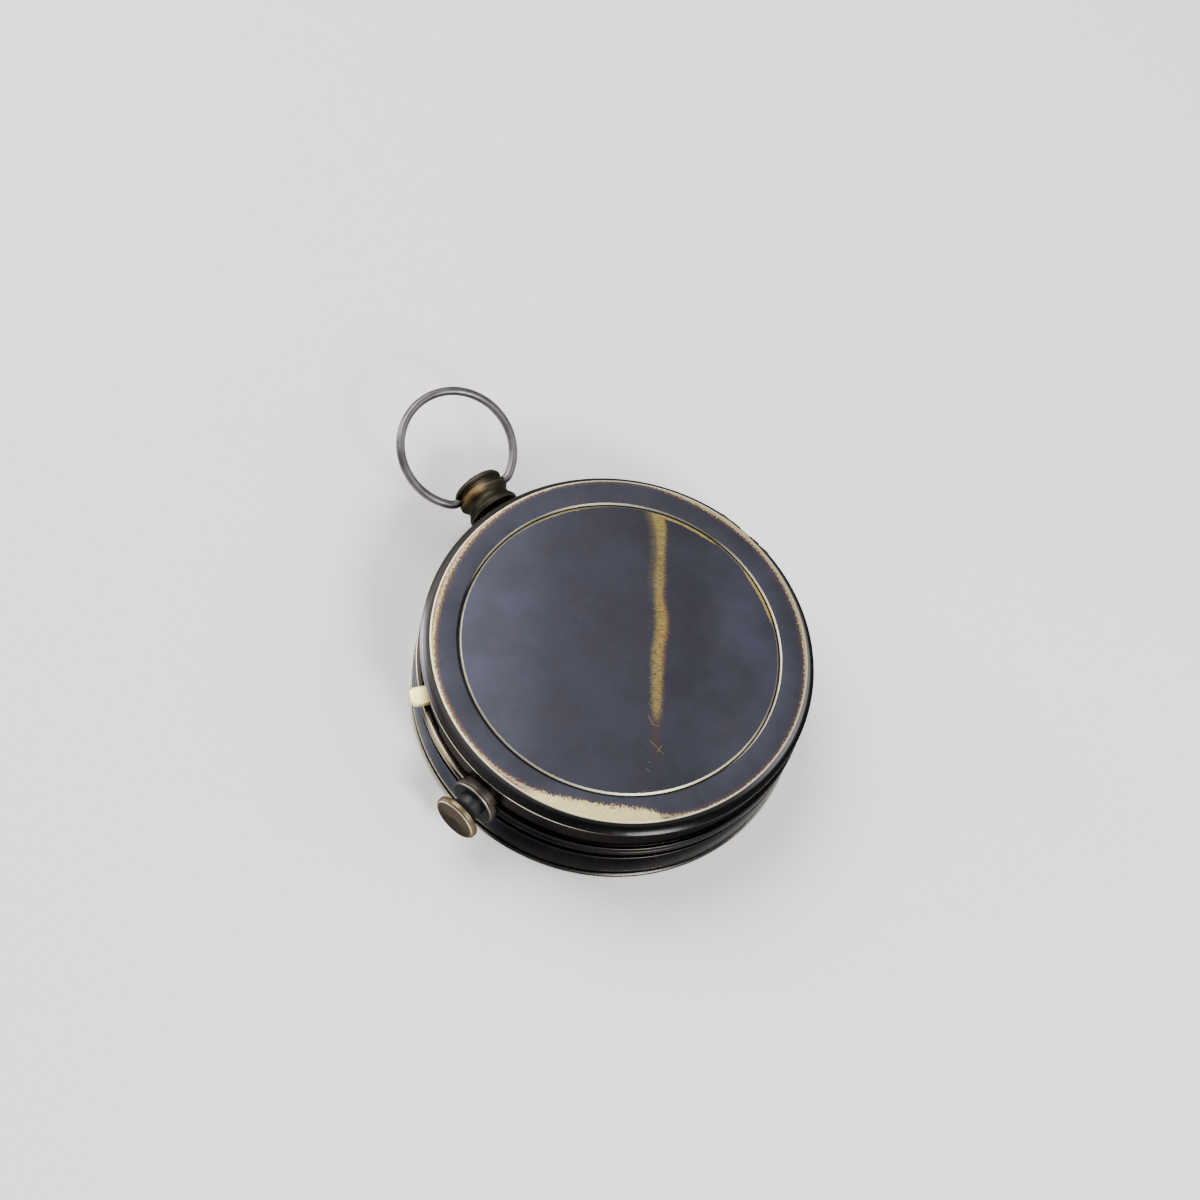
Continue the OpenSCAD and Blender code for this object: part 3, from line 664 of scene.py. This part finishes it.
combine(pendant, "DIFFERENCE", [
    rod(cross_hole_r, cross_hole_in, cross_hole_out, at_bow_pivot @ turned(90 * side, "Y"))
    for side in (-1, 1)])
# The worn colour here is also the shoulder's painted highlight.
seat(pendant, "pendant", "case", oxidised_brass(
    "oxidised_pendant_brass", (0.016, 0.015, 0.011), (0.034, 0.028, 0.019), 0.38, pendant_edges,
    wear=shoulder_wear, fitting=pendant_angle, worn=(0.60, 0.34, 0.12)))

# Bow: one length of darkened round wire bent to a ring. Its ends turn in more sharply beside the
# pendant and are turned down to pins that swing in its cross hole. It rests leaning up 20 degrees.
bow_r = 11.65
bow_wire = 1.756
bow_lean = 20.0
bow_gap = 5.4
bow_elbow_r = 2.8
bow_pin_r = 0.57
bow_pin_in = 3.8


def bow_iron():
    made, place = start_finish("darkened_bow_wire", metallic)
    clouds = noise(place, 240, detail=4, roughness=0.6)
    specks = noise(place, 2600, detail=3, roughness=0.7)
    shade = blend(clouds.rise(0.35, 0.7), (0.100, 0.090, 0.094), (0.165, 0.150, 0.155))
    shade = blend(specks.rise(0.62, 0.75) * 0.4, shade, (0.26, 0.21, 0.17))
    return end_finish(made, shade, clouds * 0.15 + specks * 0.1 + 0.27, clouds * 0.4 + specks * 0.6, 0.006)


def bow_wire_shape(sides=32):
    """The wire's round section, spun from one pin round the elbow, the ring and the other elbow."""
    bend = math.asin(bow_gap / (bow_r - bow_elbow_r))
    ring_y = bow_elbow_r + (bow_r - bow_elbow_r) * math.cos(bend)
    bends = (((bow_gap, bow_elbow_r, 0), bend, 16),
             ((0, ring_y, 0), math.tau - 2 * bend, 192),
             ((-bow_gap, bow_elbow_r, 0), bend, 16))
    shape = bmesh.new()
    bmesh.ops.create_circle(shape, cap_ends=True, radius=bow_wire / 2 * mm, segments=sides)
    bmesh.ops.transform(shape, matrix=moved(bow_gap, 0, 0) @ turned(90, "Y"), verts=shape.verts)
    end = list(shape.faces)
    for centre, turn, steps in bends:
        bent = bmesh.ops.spin(shape, geom=end, cent=Vector(centre) * mm, axis=(0, 0, 1),
                              angle=turn, steps=steps, use_merge=False)
        end = [part for part in bent["geom_last"] if isinstance(part, bmesh.types.BMFace)]
    # The wire's own two ends face along X, and a cap left inside it, between two bends, is aslant.
    inner_caps = [face for face in shape.faces if len(face.verts) == sides and abs(face.normal.x) < 0.9]
    bmesh.ops.delete(shape, geom=inner_caps, context="FACES_ONLY")
    return shape


def bow_pin(side):
    """The pin turned down on one end of the wire."""
    pin_out = bow_gap + 0.2
    outline = rounded(((0, bow_pin_in), (bow_pin_r, bow_pin_in, 0.1), (bow_pin_r, pin_out), (0, pin_out)))
    return lathe(outline, steps=48, turn=turned(90 * side, "Y"))


bow = link_piece("bow", bow_wire_shape())
combine(bow, "UNION", [bow_pin(side) for side in (-1, 1)])
bow.data.transform(at_bow_pivot @ turned(bow_lean, "X"))
seat(bow, "bow_ring", "bow", bow_iron())

# Push button: a turned brass button that slides in a collar screwed into the drum. Its tail carries
# the steel catch plate inwards, and a steel coil spring against a brass bracket sends it back.
collar_r = 4.85
collar_front = 39.4
collar_line_z = 38.76
collar_step = 37.9
tail_bore_r = 1.55
tail_pin_r = 0.85
tail_pin_end = 28.6
tail_r = 1.5
tail_front = 39.0
stem_r = 2.6
waist_r = 3.9
button_r = 4.75
head_back = 42.9
head_front = 44.3
plate_in = 34.0


def collar_edges(spot):
    """The collar's front corner, brighter on its upper side: partly thumb wear, partly a painted highlight.
    """
    return [spot.glint(collar_r - 0.08, collar_front - 0.1, 0.15) * (spot.arc(35, 130, 25) * 0.35 + 0.02)]


def collar_tint(spot):
    """Painted shade on the underside and in the bore, and a dark painted reflection on the front face."""
    front = spot.height.rise(collar_front - 0.12, collar_front - 0.04)
    face = front * spot.radius.fall(collar_r - 0.35, collar_r - 0.2)
    bore = spot.radius.fall(stem_r, stem_r + 0.3)
    # Painted shade below, a dark painted reflection on the face and painted shade in the bore.
    return [(spot.arc(200, 340, 40) * 0.85, (0.020, 0.017, 0.014)),
            (face.most(bore) * 0.85, (0.022, 0.024, 0.027))]


def head_edges(spot):
    """The head's front corner, brighter on its upper side: partly wear, partly a painted highlight."""
    return [spot.glint(button_r - 0.3, head_front - 0.05, 0.17) * (spot.arc(20, 160, 30) * 0.8 + 0.06)]


def button_tint(spot):
    """The head's face is stained brown, its lower side darker as painted shade, the waist lightened
    blue-grey as painted light.
    """
    front = spot.height.rise(head_front - 0.24, head_front - 0.2)
    face = front * spot.radius.fall(button_r - 0.7, button_r - 0.55)
    below = spot.arc(195, 345, 45)
    waist = spot.height.fall(head_back - 0.15, head_back)
    # Painted shade on the lower side and face, and painted light on the waist.
    return [(below * 0.8, (0.030, 0.024, 0.018)),
            (face * (spot.clouds * 0.5 + 0.55), (0.048, 0.034, 0.026)),
            (face * below * 0.75, (0.018, 0.014, 0.011)),
            (waist, (0.105, 0.110, 0.115))]


collar = turned_piece("button_collar", (
    (tail_bore_r, channel_back), (collar_neck_r, channel_back), (collar_neck_r, collar_seat),
    (collar_r, collar_seat, 0.15), (collar_r, collar_line_z - 0.1, 0.05), (collar_r - 0.12, collar_line_z),
    (collar_r, collar_line_z + 0.1, 0.05), (collar_r, collar_front, 0.3),
    (stem_r + 0.05, collar_front, 0.08), (stem_r + 0.05, collar_step), (tail_bore_r, collar_step)),
    steps=128, turn=outward(button_angle))
seat(collar, "latch_collar", "case", oxidised_brass(
    "oxidised_collar_brass", (0.070, 0.058, 0.049), (0.128, 0.106, 0.089), 0.32, collar_edges,
    tint=collar_tint, fitting=button_angle))
button = turned_piece("button", (
    (0, tail_pin_end), (tail_pin_r, tail_pin_end, 0.2), (tail_pin_r, plate_in), (tail_r, plate_in),
    (tail_r, tail_front), (stem_r, tail_front, 0.1),
    *bowed((stem_r, head_back - 1.9), (waist_r, head_back - 0.1), 0.25), (waist_r, head_back),
    (button_r, head_back, 0.25), (button_r, head_front - 0.45, 0.2), (button_r - 0.45, head_front, 0.12),
    (button_r - 0.85, head_front - 0.14, 0.1), (0, head_front - 0.2)),
    steps=128, turn=outward(button_angle), corner_steps=5)
seat(button, "latch_button", "push_button", oxidised_brass(
    "handled_button_brass", (0.125, 0.096, 0.052), (0.22, 0.170, 0.090), 0.30, head_edges,
    tint=button_tint, fitting=button_angle))
seat_softened("catch_plate", "catch", 0.08, "push_button", steel)


def dress(cad_node, finish):
    """Gives a CAD node that stays in view its finish."""
    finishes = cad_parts[cad_node].data.materials
    finishes.clear()
    finishes.append(finish)


# The real spring shortens as the button goes in. Here a copy of its coil, with a mesh of its own, takes its
# place.
coil = bmesh.new()
coil.from_mesh(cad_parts["latch_spring"].data)
return_spring = link_piece("return_spring", coil)
seat(return_spring, "latch_spring", "case", steel)
button_way = outward(button_angle)
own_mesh(return_spring)
dress("spring_bracket", brass)
dress("bracket_screw", steel)

# Needle lock: a brass ring that turns on the floor's rib, with three ramps, and a thumb tab that
# reaches out through the drum's slot. Sliding the tab lifts a three-armed plate under the needle.
dress("lock_ring", brass)
dress("needle_lifter", brass)


def tab_gold():
    made, place = start_finish("polished_tab_brass", metallic)
    clouds = noise(place, 500, detail=3)
    strokes = noise(place, 3000, detail=2, stretch=(1, 0.08, 1))
    shade = blend(clouds, (1.0, 0.78, 0.32), (1.0, 0.88, 0.46))
    return end_finish(made, shade, strokes * 0.12 + clouds * 0.1 + 0.36, strokes, 0.004)


seat_softened("lock_tab", "thumb_tab", 0.22, "lock", tab_gold(), segments=4)

# Dial: a brass plate painted cream, screwed to three pillars, with a silvered scale ring round it.
# The rose, the figures and the degree marks are printed in ink and stand a hair proud.
dial_low = 17.2
dial_top = 17.8
scale_top = 18.3
dial_r = 32.2
scale_inner_r = 27.5
dial_bore_r = 2.0
print_t = 0.02
marks_r = 29.75
figure_r = 24.9
letter_r = 24.6
circle_radii = ((22.3, 22.5), (17.2, 17.35))
# Inner radius, half width and step in degrees of the fine and of the long marks.
degree_lines = ((28.9, 0.05, 2), (28.1, 0.08, 10))
# Tip, half width, first bearing and thickness of ink of the rose's short and long points.
rose_points = ((10.5, 1.8, 45, print_t / 2), (16.6, 2.2, 0, print_t))
rose_hub = 2.4
rose_shoulder = 3.9


def dial_cream():
    made, place = start_finish("cream_dial_paint", {})
    clouds = noise(place, 120, detail=5, roughness=0.6)
    foxing = noise(place, 700, detail=4, roughness=0.7)
    shade = blend(clouds, (0.74, 0.67, 0.50), (0.84, 0.79, 0.64))
    shade = blend(foxing.rise(0.62, 0.78) * 0.35, shade, (0.50, 0.38, 0.22))
    return end_finish(made, shade, clouds * 0.2 + 0.42, foxing, 0.01, strength=0.5)


def scale_silver():
    made, place = start_finish("silvered_scale", metallic)
    lines = Spot(place).around(1.5, 14.0)
    clouds = noise(place, 300, detail=4)
    shade = blend(clouds.rise(0.4, 0.7) * 0.5, (0.72, 0.71, 0.66), (0.55, 0.50, 0.40))
    return end_finish(made, shade, lines * 0.15 + clouds * 0.1 + 0.28, lines, 0.006)


def dial_ink(name, colour):
    made, place = start_finish(name, {})
    patches = noise(place, 1500, detail=4, roughness=0.7)
    shade = blend(patches.rise(0.45, 0.8) * 0.6, colour, tuple(c * 2 + 0.02 for c in colour))
    return end_finish(made, shade, patches * 0.2 + 0.45, patches, 0.004)


def ink_piece(name, shape, finish):
    """Printing on the dial. It has no solid of its own and goes with the case."""
    made = link_piece(name, shape)
    made.data.materials.append(finish)
    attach(made, "case")


def put_round(shape, part, angles):
    """Adds turned copies of a small shape to another one, and frees it."""
    mesh = bpy.data.meshes.new("part")
    part.to_mesh(mesh)
    part.free()
    for angle in angles:
        copy = mesh.copy()
        copy.transform(turned(angle))
        shape.from_mesh(copy)
        bpy.data.meshes.remove(copy)
    bpy.data.meshes.remove(mesh)


def printed_words(words):
    """Figures as (words, size, radius, bearing), reading from the dial's middle, bearings from north."""
    shape = bmesh.new()
    for text, size, radius, bearing in words:
        letters = bpy.data.curves.new("letters", "FONT")
        letters.body = text
        letters.size = size * mm
        letters.align_x = "CENTER"
        letters.align_y = "CENTER"
        letters.extrude = print_t / 2 * mm
        written = bpy.data.objects.new("letters", letters)
        mesh = bpy.data.meshes.new_from_object(written)
        mesh.transform(turned(-bearing) @ moved(0, radius, dial_top + print_t / 2))
        shape.from_mesh(mesh)
        bpy.data.meshes.remove(mesh)
        bpy.data.objects.remove(written)
    return shape


def printed_circles():
    shape = bmesh.new()
    ink_top = dial_top + print_t
    for inner, outer in circle_radii:
        ring = lathe([(inner, dial_top), (outer, dial_top), (outer, ink_top), (inner, ink_top)])
        put_round(shape, ring, [0])
    return shape


def rose_halves(side):
    """One half of each of the rose's eight points, side 1 or -1 of its middle line."""
    shape = bmesh.new()
    for tip, half, first, ink in rose_points:
        point = bmesh.new()
        corners = ((0, rose_hub), (side * half, rose_shoulder), (0, tip))
        flat = point.faces.new([point.verts.new((x * mm, y * mm, dial_top * mm)) for x, y in corners])
        raised = bmesh.ops.extrude_face_region(point, geom=[flat])
        tops = [part for part in raised["geom"] if isinstance(part, bmesh.types.BMVert)]
        bmesh.ops.translate(point, verts=tops, vec=(0, 0, ink * mm))
        put_round(shape, point, range(first, 360, 90))
    return shape


dial = turned_piece("dial", (
    (dial_bore_r, dial_low), (dial_r, dial_low, 0.08), (dial_r, dial_top, 0.08),
    (dial_bore_r, dial_top, 0.08)))
seat(dial, "dial_plate", "case", dial_cream())
scale = turned_piece("scale_ring", (
    (scale_inner_r, dial_top), (dial_r, dial_top), (dial_r, scale_top, 0.08),
    (scale_inner_r + 0.4, scale_top, 0.08)))
seat(scale, "degree_ring", "case", scale_silver())
black_ink = dial_ink("black_ink", (0.018, 0.017, 0.020))
marks = bmesh.new()
for inner, half, step in degree_lines:
    mark = block((inner, -half, scale_top), (marks_r, half, scale_top + print_t))
    put_round(marks, mark, range(0, 360, step))
ink_piece("degree_marks", marks, black_ink)
figures = [(str(bearing), 2.5, figure_r, bearing) for bearing in range(30, 360, 30) if bearing % 90]
quarters = [("N", 3.6, letter_r, 0), *((word, 3.4, letter_r, 90 * k) for k, word in enumerate("ESW", 1))]
ink_piece("dial_figures", printed_words(figures + quarters), black_ink)
ink_piece("dial_circles", printed_circles(), black_ink)
ink_piece("rose_dark_halves", rose_halves(1), black_ink)
ink_piece("rose_red_halves", rose_halves(-1), dial_ink("brown_ink", (0.24, 0.09, 0.04)))
seat_softened("dial_screws", "dial_screw_heads", 0.05, "case", brass)
dress("dial_pillars", brass)
dress("pivot_post", steel)

# Needle: a magnetised steel lozenge with its north arm blued by heat, on a brass cap with a jewel
# cup that rides on the post's point. A sliding brass weight on the south arm trims it level.
def needle_steel():
    made, place = start_finish("blued_needle_steel", metallic)
    clouds = noise(place, 400, detail=4)
    strokes = noise(place, 3500, detail=2, stretch=(1, 0.06, 1))
    north = parts_of(place)[1].rise(2.4, 3.4)
    blue = blend(clouds, (0.018, 0.035, 0.16), (0.035, 0.055, 0.24))
    bright = blend(clouds, (0.46, 0.46, 0.47), (0.58, 0.58, 0.58))
    return end_finish(made, blend(north, bright, blue), strokes * 0.15 + clouds * 0.08 + 0.2, strokes, 0.003)


def jewel_red():
    made, place = start_finish("ruby_jewel", {"Transmission Weight": 0.4, "IOR": 1.76})
    veins = noise(place, 1800, detail=3)
    shade = blend(veins, (0.55, 0.02, 0.05), (0.75, 0.06, 0.10))
    return end_finish(made, shade, veins * 0.05 + 0.05, veins, 0.002)


seat_softened("needle", "needle_blade", 0.06, "needle_group", needle_steel())
seat_softened("needle_cap", "cap", 0.05, "needle_group", brass)
seat_softened("needle_weight", "trim_weight", 0.05, "needle_group", brass)
dress("needle_jewel", jewel_red())

# Bezel: a turned brass ring pressed into the drum's bore. A flat glass lies on a dark seal inside it,
# under a sprung ring.
glass_r = 31.2
glass_low = 19.7
glass_top = 20.7
bezel_top = 21.0
bezel_foot = 18.6
bezel_r = 33.1
bezel_inner_r = 29.8
glass_pocket_r = 31.3
glass_ledge_z = 19.55
bezel_lip_z = 19.2


def flat_glass():
    made, place = start_finish("flat_glass", {"Transmission Weight": 1.0, "IOR": 1.5})
    smears = noise(place, 90, detail=4, roughness=0.6)
    return end_finish(made, (0.97, 0.99, 0.98, 1), smears.rise(0.5, 0.8) * 0.05 + 0.01, smears, 0.002)


def seal_rubber():
    made, place = start_finish("seal_rubber", {})
    grain = noise(place, 2500, detail=4)
    shade = blend(grain, (0.018, 0.018, 0.018), (0.05, 0.048, 0.045))
    return end_finish(made, shade, grain * 0.2 + 0.6, grain, 0.01)


bezel = turned_piece("bezel", (
    (bezel_inner_r, bezel_lip_z + 0.05), (bezel_inner_r, bezel_lip_z, 0.02), (30.4, bezel_foot),
    (bore_r, bezel_foot), (bore_r, case_h), (bezel_r, case_h, 0.08), (bezel_r, bezel_top, 0.35),
    (glass_pocket_r, bezel_top, 0.25), (glass_pocket_r, glass_ledge_z), (30.2, glass_ledge_z, 0.1),
    (bezel_inner_r, bezel_lip_z + 0.05)))
seat(bezel, "bezel_ring", "case", brass)
pane = turned_piece("pane", (
    (0, glass_low), (glass_r, glass_low), (glass_r, glass_top, 0.08), (0, glass_top)))
seat(pane, "glass", "case", flat_glass())
seat_softened("glass_retainer", "sprung_ring", 0.04, "case", brass)
dress("glass_seal", seal_rubber())

# Hinge: five brass knuckles, three soldered to the drum and two to the lid, on a steel pin. They are
# oxidised with the case and worn bright where they rub.
knuckle_brass = clean_metal(
    "oxidised_knuckle_brass", (0.055, 0.042, 0.028), (0.30, 0.22, 0.11), 0.28, tarnish=0.5)
seat_softened("case_hinge_knuckles", "drum_knuckles", 0.07, "case", knuckle_brass)
seat_softened("lid_hinge_knuckles", "lid_knuckles", 0.07, "lid", knuckle_brass)
seat_softened("hinge_pin", "pin", 0.08, "case", steel)

# Lid rim: a turned brass ring with a hollow flank, a snap undercut inside its skirt and a ledge for
# the disc. Its dark oxide is rubbed away along the top edge, widest on the side away from the pendant.
top_z = 22.4
lid_top_r = 36.3
lid_low = 19.6
lid_under = 21.2
ledge_r = 29.5
ledge_z = 21.6
disc_r = 30.75
groove_chamfer = 0.38
disc_seat_r = disc_r + 0.2
groove_outer_r = disc_seat_r + groove_chamfer
lip_z = 20.02
skirt_r = 35.8
undercut_r = 36.3
undercut_low = 20.0
undercut_top = 20.9
lid_dark = (0.039, 0.039, 0.050)
lid_light = (0.051, 0.053, 0.073)
ring_dark = (0.033, 0.033, 0.042)
ring_light = (0.044, 0.045, 0.061)
lid_inside = (0.56, 0.43, 0.21)
# How wide the strip rubbed along the top edge is, by the angle round the lid.
rim_wear_widths = ((0, 0.75), (24, 0.85), (56, 0.2), (96, 0.6), (118, 1.0), (134, 1.1), (150, 0.75),
                   (172, 0.5), (190, 0.7), (202, 1.2), (216, 2.3), (230, 3.1), (242, 2.7), (254, 0.6),
                   (268, 0.3), (310, 0.45), (335, 0.8), (360, 0.75))


def rim_rubbed(spot):
    """The width in mm of the strip rubbed along the top edge, and how far past its ragged side, toward
    the lid's middle, a point lies."""
    combed = spot.around(150, 0.5, detail=3) - 0.5
    speckled = noise(spot.place, 2600, detail=4, roughness=0.8) - 0.5
    width = spot.angle.follow(rim_wear_widths, 360, 4)
    inward = spot.radius * -1 + (lid_top_r + 0.05)
    return width, inward - width - combed * (width * 0.35 + 0.3) - speckled * (width * 1.2 + 1.6)


def rim_wear(spot):
    """The rubbed strip, solid where it is wide and patchy where it is narrow."""
    width, past = rim_rubbed(spot)
    patches = noise(spot.place, 1700, detail=4, roughness=0.8)
    solid = width.rise(1.1, 1.9).most(spot.arc(300, 410, 20) * 0.6)
    ragged_line = past.rise(-0.45, -0.3) * 0.45
    strip = past.fall(-0.1, 0.1) * spot.height.rise(top_z - 0.3, top_z - 0.15)
    return [strip * (solid * 0.75 + 0.08 + (patches - 0.5) * 0.5).most(ragged_line + 0.03)]


def rim_edges(spot):
    """Painted highlights over real edge wear: the top corner's bright line, the lower lip's on the tab's
    side, and the groove's outer chamfer.
    """
    corner = spot.glint(lid_top_r - 0.04, top_z, 0.2)
    lip = spot.glint(drum_r, lip_z, 0.24)
    groove = spot.glint(disc_seat_r + groove_chamfer / 2, top_z - groove_chamfer / 2, 0.22)
    # Where the groove's chamfer catches the light: a painted highlight.
    seen = spot.arc(285, 372, 15).most(
        spot.arc(88, 120, 10) * 0.3, spot.arc(15, 90, 20) * 0.22, spot.arc(215, 300, 20) * 0.06)
    return [corner * (spot.arc(95, 205, 14) * 0.4 + 0.6),
            lip * (spot.arc(100, 220, 14) * 0.95 + 0.04),
            groove * seen]


def rim_tint(spot):
    """The flank is black, with painted reflections that make it greyer on the tab's side and away to the
    right and paler in two bands; a purple-brown fringe lies along the rubbed strip, and the groove's
    chamfer is darkened as painted shade in the gap. Underneath, the brass is bare."""
    brown = noise(spot.place, 330, detail=4, roughness=0.65).rise(0.52, 0.72) * 0.3
    flank = spot.radius.rise(36.25, 36.5)
    grey = spot.arc(90, 200, 25).most(spot.arc(280, 400, 25) * spot.radius.fall(36.9, 37.5))
    pale_left = spot.arc(137, 168, 6) * spot.radius.rise(37.35, 37.6)
    pale_right = spot.arc(285, 345, 15) * spot.radius.fall(36.8, 37.2)
    fringe = rim_rubbed(spot)[1].fall(0.1, 0.9) * spot.radius.fall(36.2, 36.3)
    fringe_colour = blend(spot.arc(95, 185, 15), (0.082, 0.050, 0.048), (0.13, 0.078, 0.048))
    chamfer = spot.radius.fall(groove_outer_r, groove_outer_r + 0.04)
    under = spot.radius.fall(undercut_r + 0.05, undercut_r + 0.2) * spot.height.fall(21.3, 21.45)
    return [(brown, (0.060, 0.049, 0.049)),
            (flank, (0.012, 0.012, 0.012)),
            # Painted reflections on the flank: greyer on the tab's side and to the right, paler in two
            # bands.
            (flank * grey * (spot.around(1.5, 9.0) * 1.4), (0.075, 0.067, 0.062)),
            (flank * pale_left.most(pale_right) * 0.6, (0.22, 0.21, 0.25)),
            (fringe * 0.8, fringe_colour),
            # Painted shade in the gap round the disc.
            (chamfer * 0.8, (0.012, 0.012, 0.014)),
            (under, lid_inside)]


def flank_gloss(spot):
    """The flank is smoother than the top, most of all on the side away from the pendant."""
    return spot.radius.rise(36.3, 36.6) * (spot.arc(205, 300, 20) * 0.9 + 1.2)


lid_ring = turned_piece("lid_ring", (
    (ledge_r, lid_under, 0.1), (ledge_r, ledge_z), (disc_seat_r, ledge_z),
    (disc_seat_r, top_z - groove_chamfer), (groove_outer_r, top_z, 0.06), (lid_top_r - 0.08, top_z, 0.04),
    *bowed((lid_top_r, top_z - 0.1), (drum_r - 0.02, lip_z + 0.25), -0.22, steps=16),
    (drum_r, lip_z + 0.08), (drum_r, lip_z - 0.07), (drum_r - 0.1, lid_low + 0.1),
    (drum_r - 0.35, lid_low, 0.06), (skirt_r, lid_low, 0.08), (skirt_r, undercut_low),
    (undercut_r, undercut_low), (undercut_r, undercut_top), (skirt_r, lid_under)))
combine(lid_ring, "DIFFERENCE", [rod(hinge_notch_r, -hinge_notch_half, hinge_notch_half, along_hinge())])
seat(lid_ring, "lid_rim", "lid", oxidised_brass(
    "oxidised_lid_ring_brass", ring_dark, ring_light, 0.40, rim_edges,
    wear=rim_wear, tint=rim_tint, gloss=flank_gloss, worn=(0.77, 0.64, 0.31)))

# Lid disc: a flat brass disc let into the ring, with a chamfered edge. Something hard has rubbed a
# long gold streak across it, ragged along both sides, with a few small scratches past its end.
disc_top = top_z - 0.05
streak_line = (Vector((22.6, 19.7)), Vector((-3.4, -16.9)))
streak_reach = 50
# By the distance down the streak: how far its middle stands off its line, its half width, and how
# strong the stain beside it is.
streak_drift = ((0, 0.4), (5, 1.0), (17, 0.65), (23, 1.15), (31, 0.45), (streak_reach, 0.4))
streak_half = ((0, 1.4), (4, 1.1), (10, 0.95), (14, 1.15), (17, 0.95), (23, 1.2), (38, 1.1), (43, 0.85),
               (streak_reach, 0.5))
fringe_amount = ((0, 0.2), (14, 0.6), (18, 1.0), (27, 1.0), (34, 0.7), (streak_reach, 0.2))
scratches = (((-6.4, -18.9), (-5.7, -22.8), 0.16), ((-6.5, -21.7), (-4.9, -21.0), 0.22),
             ((-9.2, -22.3), (-8.8, -23.1), 0.14), ((-10.3, -23.3), (-9.9, -24.5), 0.14),
             ((-3.7, -14.6), (-4.0, -16.8), 0.2), ((-4.2, -16.4), (-3.0, -17.6), 0.2),
             ((-13.5, -26.6), (-12.6, -27.8), 0.12))


def line_places(place, start, end):
    """How far in mm a point lies along a line on the lid, and how far to its right."""
    along = (end - start).normalized()
    place_x, place_y, _ = parts_of(place)
    x, y = place_x - start.x, place_y - start.y
    return x * along.x + y * along.y, y * along.x - x * along.y


def streak_places(spot):
    """Distance along the streak, how far past its left and right edges a point lies, and the strokes
    that it is made of."""
    down, side = line_places(spot.place, *streak_line)
    strokes = noise(joined(down * 4.5, side * 0.5), 1.0, detail=4, roughness=0.7) - 0.5
    grain = noise(spot.place, 2100, detail=3, roughness=0.7) - 0.5
    off = side - down.follow(streak_drift, streak_reach, 2) + 0.4
    half = down.follow(streak_half, streak_reach, 2)
    ragged = strokes * 2.8 + grain * 0.7
    return down, off * -1 - half + ragged * 1.2, off - half + ragged, strokes


def scratch_marks(place):
    """A faint mask for each scratch."""
    marks = []
    for start, end, width in scratches:
        down, side = line_places(place, Vector(start), Vector(end))
        length = (Vector(end) - Vector(start)).length
        across = side.calc("ABSOLUTE").fall(width * 0.2, width * 0.6)
        marks.append(across * down.rise(-0.1, 0.1) * down.fall(length - 0.2, length) * 0.13)
    return marks


def disc_wear(spot):
    """The streak, a haze left of its upper end, the scratches and three rubbed stretches of the rim."""
    down, left, right, strokes = streak_places(spot)
    patchy = noise(spot.place, 1300, detail=4, roughness=0.75) - 0.5
    streak = left.fall(-0.7, 0.5) * right.fall(-0.5, 0.25) * down.fall(41, 45.5)
    haze = left.fall(-0.5, 1.6) * right.fall(-0.5, 0.1) * down.fall(2, 26) * 0.10
    width = spot.arc(18, 42, 5) * 0.4 + spot.arc(340, 362, 6) * 0.35
    width = width + spot.arc(60, 100, 20) * 0.2
    past = spot.radius * -1 + (disc_r - groove_chamfer) - width - (spot.fray - 0.5) * 0.6
    rim = past.fall(-0.05, 0.08) * spot.height.rise(top_z - 0.5, top_z - 0.4) * width.rise(0.05, 0.3)
    return [streak * (patchy * 0.8 + strokes * 1.4 + 0.20 + down.fall(0, 12) * 0.08), haze,
            rim * (patchy * 1.2 + 0.42), *scratch_marks(spot.place)]


def disc_edges(spot):
    """The disc's chamfer: worn pale, with a painted highlight nearly all round, dull only on the side away
    from the tab.
    """
    chamfer = spot.glint(disc_r - groove_chamfer / 2, disc_top - groove_chamfer / 2, 0.24)
    # Brighter or duller by angle: a painted highlight.
    return [chamfer * (spot.arc(292, 362, 18) * -0.75 + spot.arc(40, 105, 15) * -0.3 + 0.9)]


def disc_tint(spot):
    """Faint brown mottling, a broad darker band that the streak lies in, and stains beside it:
    orange-brown on its right, brown at its upper left and round its lower end."""
    down, left, right, _ = streak_places(spot)
    side = line_places(spot.place, *streak_line)[1]
    broad = noise(spot.place, 45, detail=2).rise(0.45, 0.7) * 0.4
    brown = noise(spot.place, 260, detail=5, roughness=0.65).rise(0.52, 0.72) * 0.35
    shaded = side.rise(-32, -18) * side.fall(6, 15)
    umber = left.fall(-0.2, 1.3) * right.fall(-1.5, 0.0) * down.fall(2.5, 8)
    beside = right.fall(-0.2, 0.75) * left.fall(-1.5, 0.0)
    orange = beside * down.follow(fringe_amount, streak_reach, 1) * down.fall(42, 46)
    tail = left.fall(-0.2, 1.0) * right.fall(-0.2, 1.0) * down.rise(38, 43) * down.fall(47, 56)
    return [(broad, (0.042, 0.039, 0.044)),
            (brown, (0.056, 0.047, 0.049)),
            (shaded * 0.5, (0.022, 0.021, 0.025)),
            (umber * 0.5, (0.070, 0.050, 0.042)),
            (orange * 0.8, (0.115, 0.068, 0.038)),
            (tail * 0.6, (0.055, 0.038, 0.036)),
            (spot.height.fall(ledge_z + 0.05, ledge_z + 0.1), lid_inside)]


disc = turned_piece("lid_plate", (
    (0, ledge_z), (disc_r, ledge_z), (disc_r, disc_top - groove_chamfer, 0.04),
    (disc_r - groove_chamfer, disc_top, 0.06), (0, disc_top)))
seat(disc, "lid_disc", "lid", oxidised_brass(
    "oxidised_lid_disc_brass", lid_dark, lid_light, 0.40, disc_edges,
    wear=disc_wear, tint=disc_tint, worn=(0.68, 0.52, 0.10)))
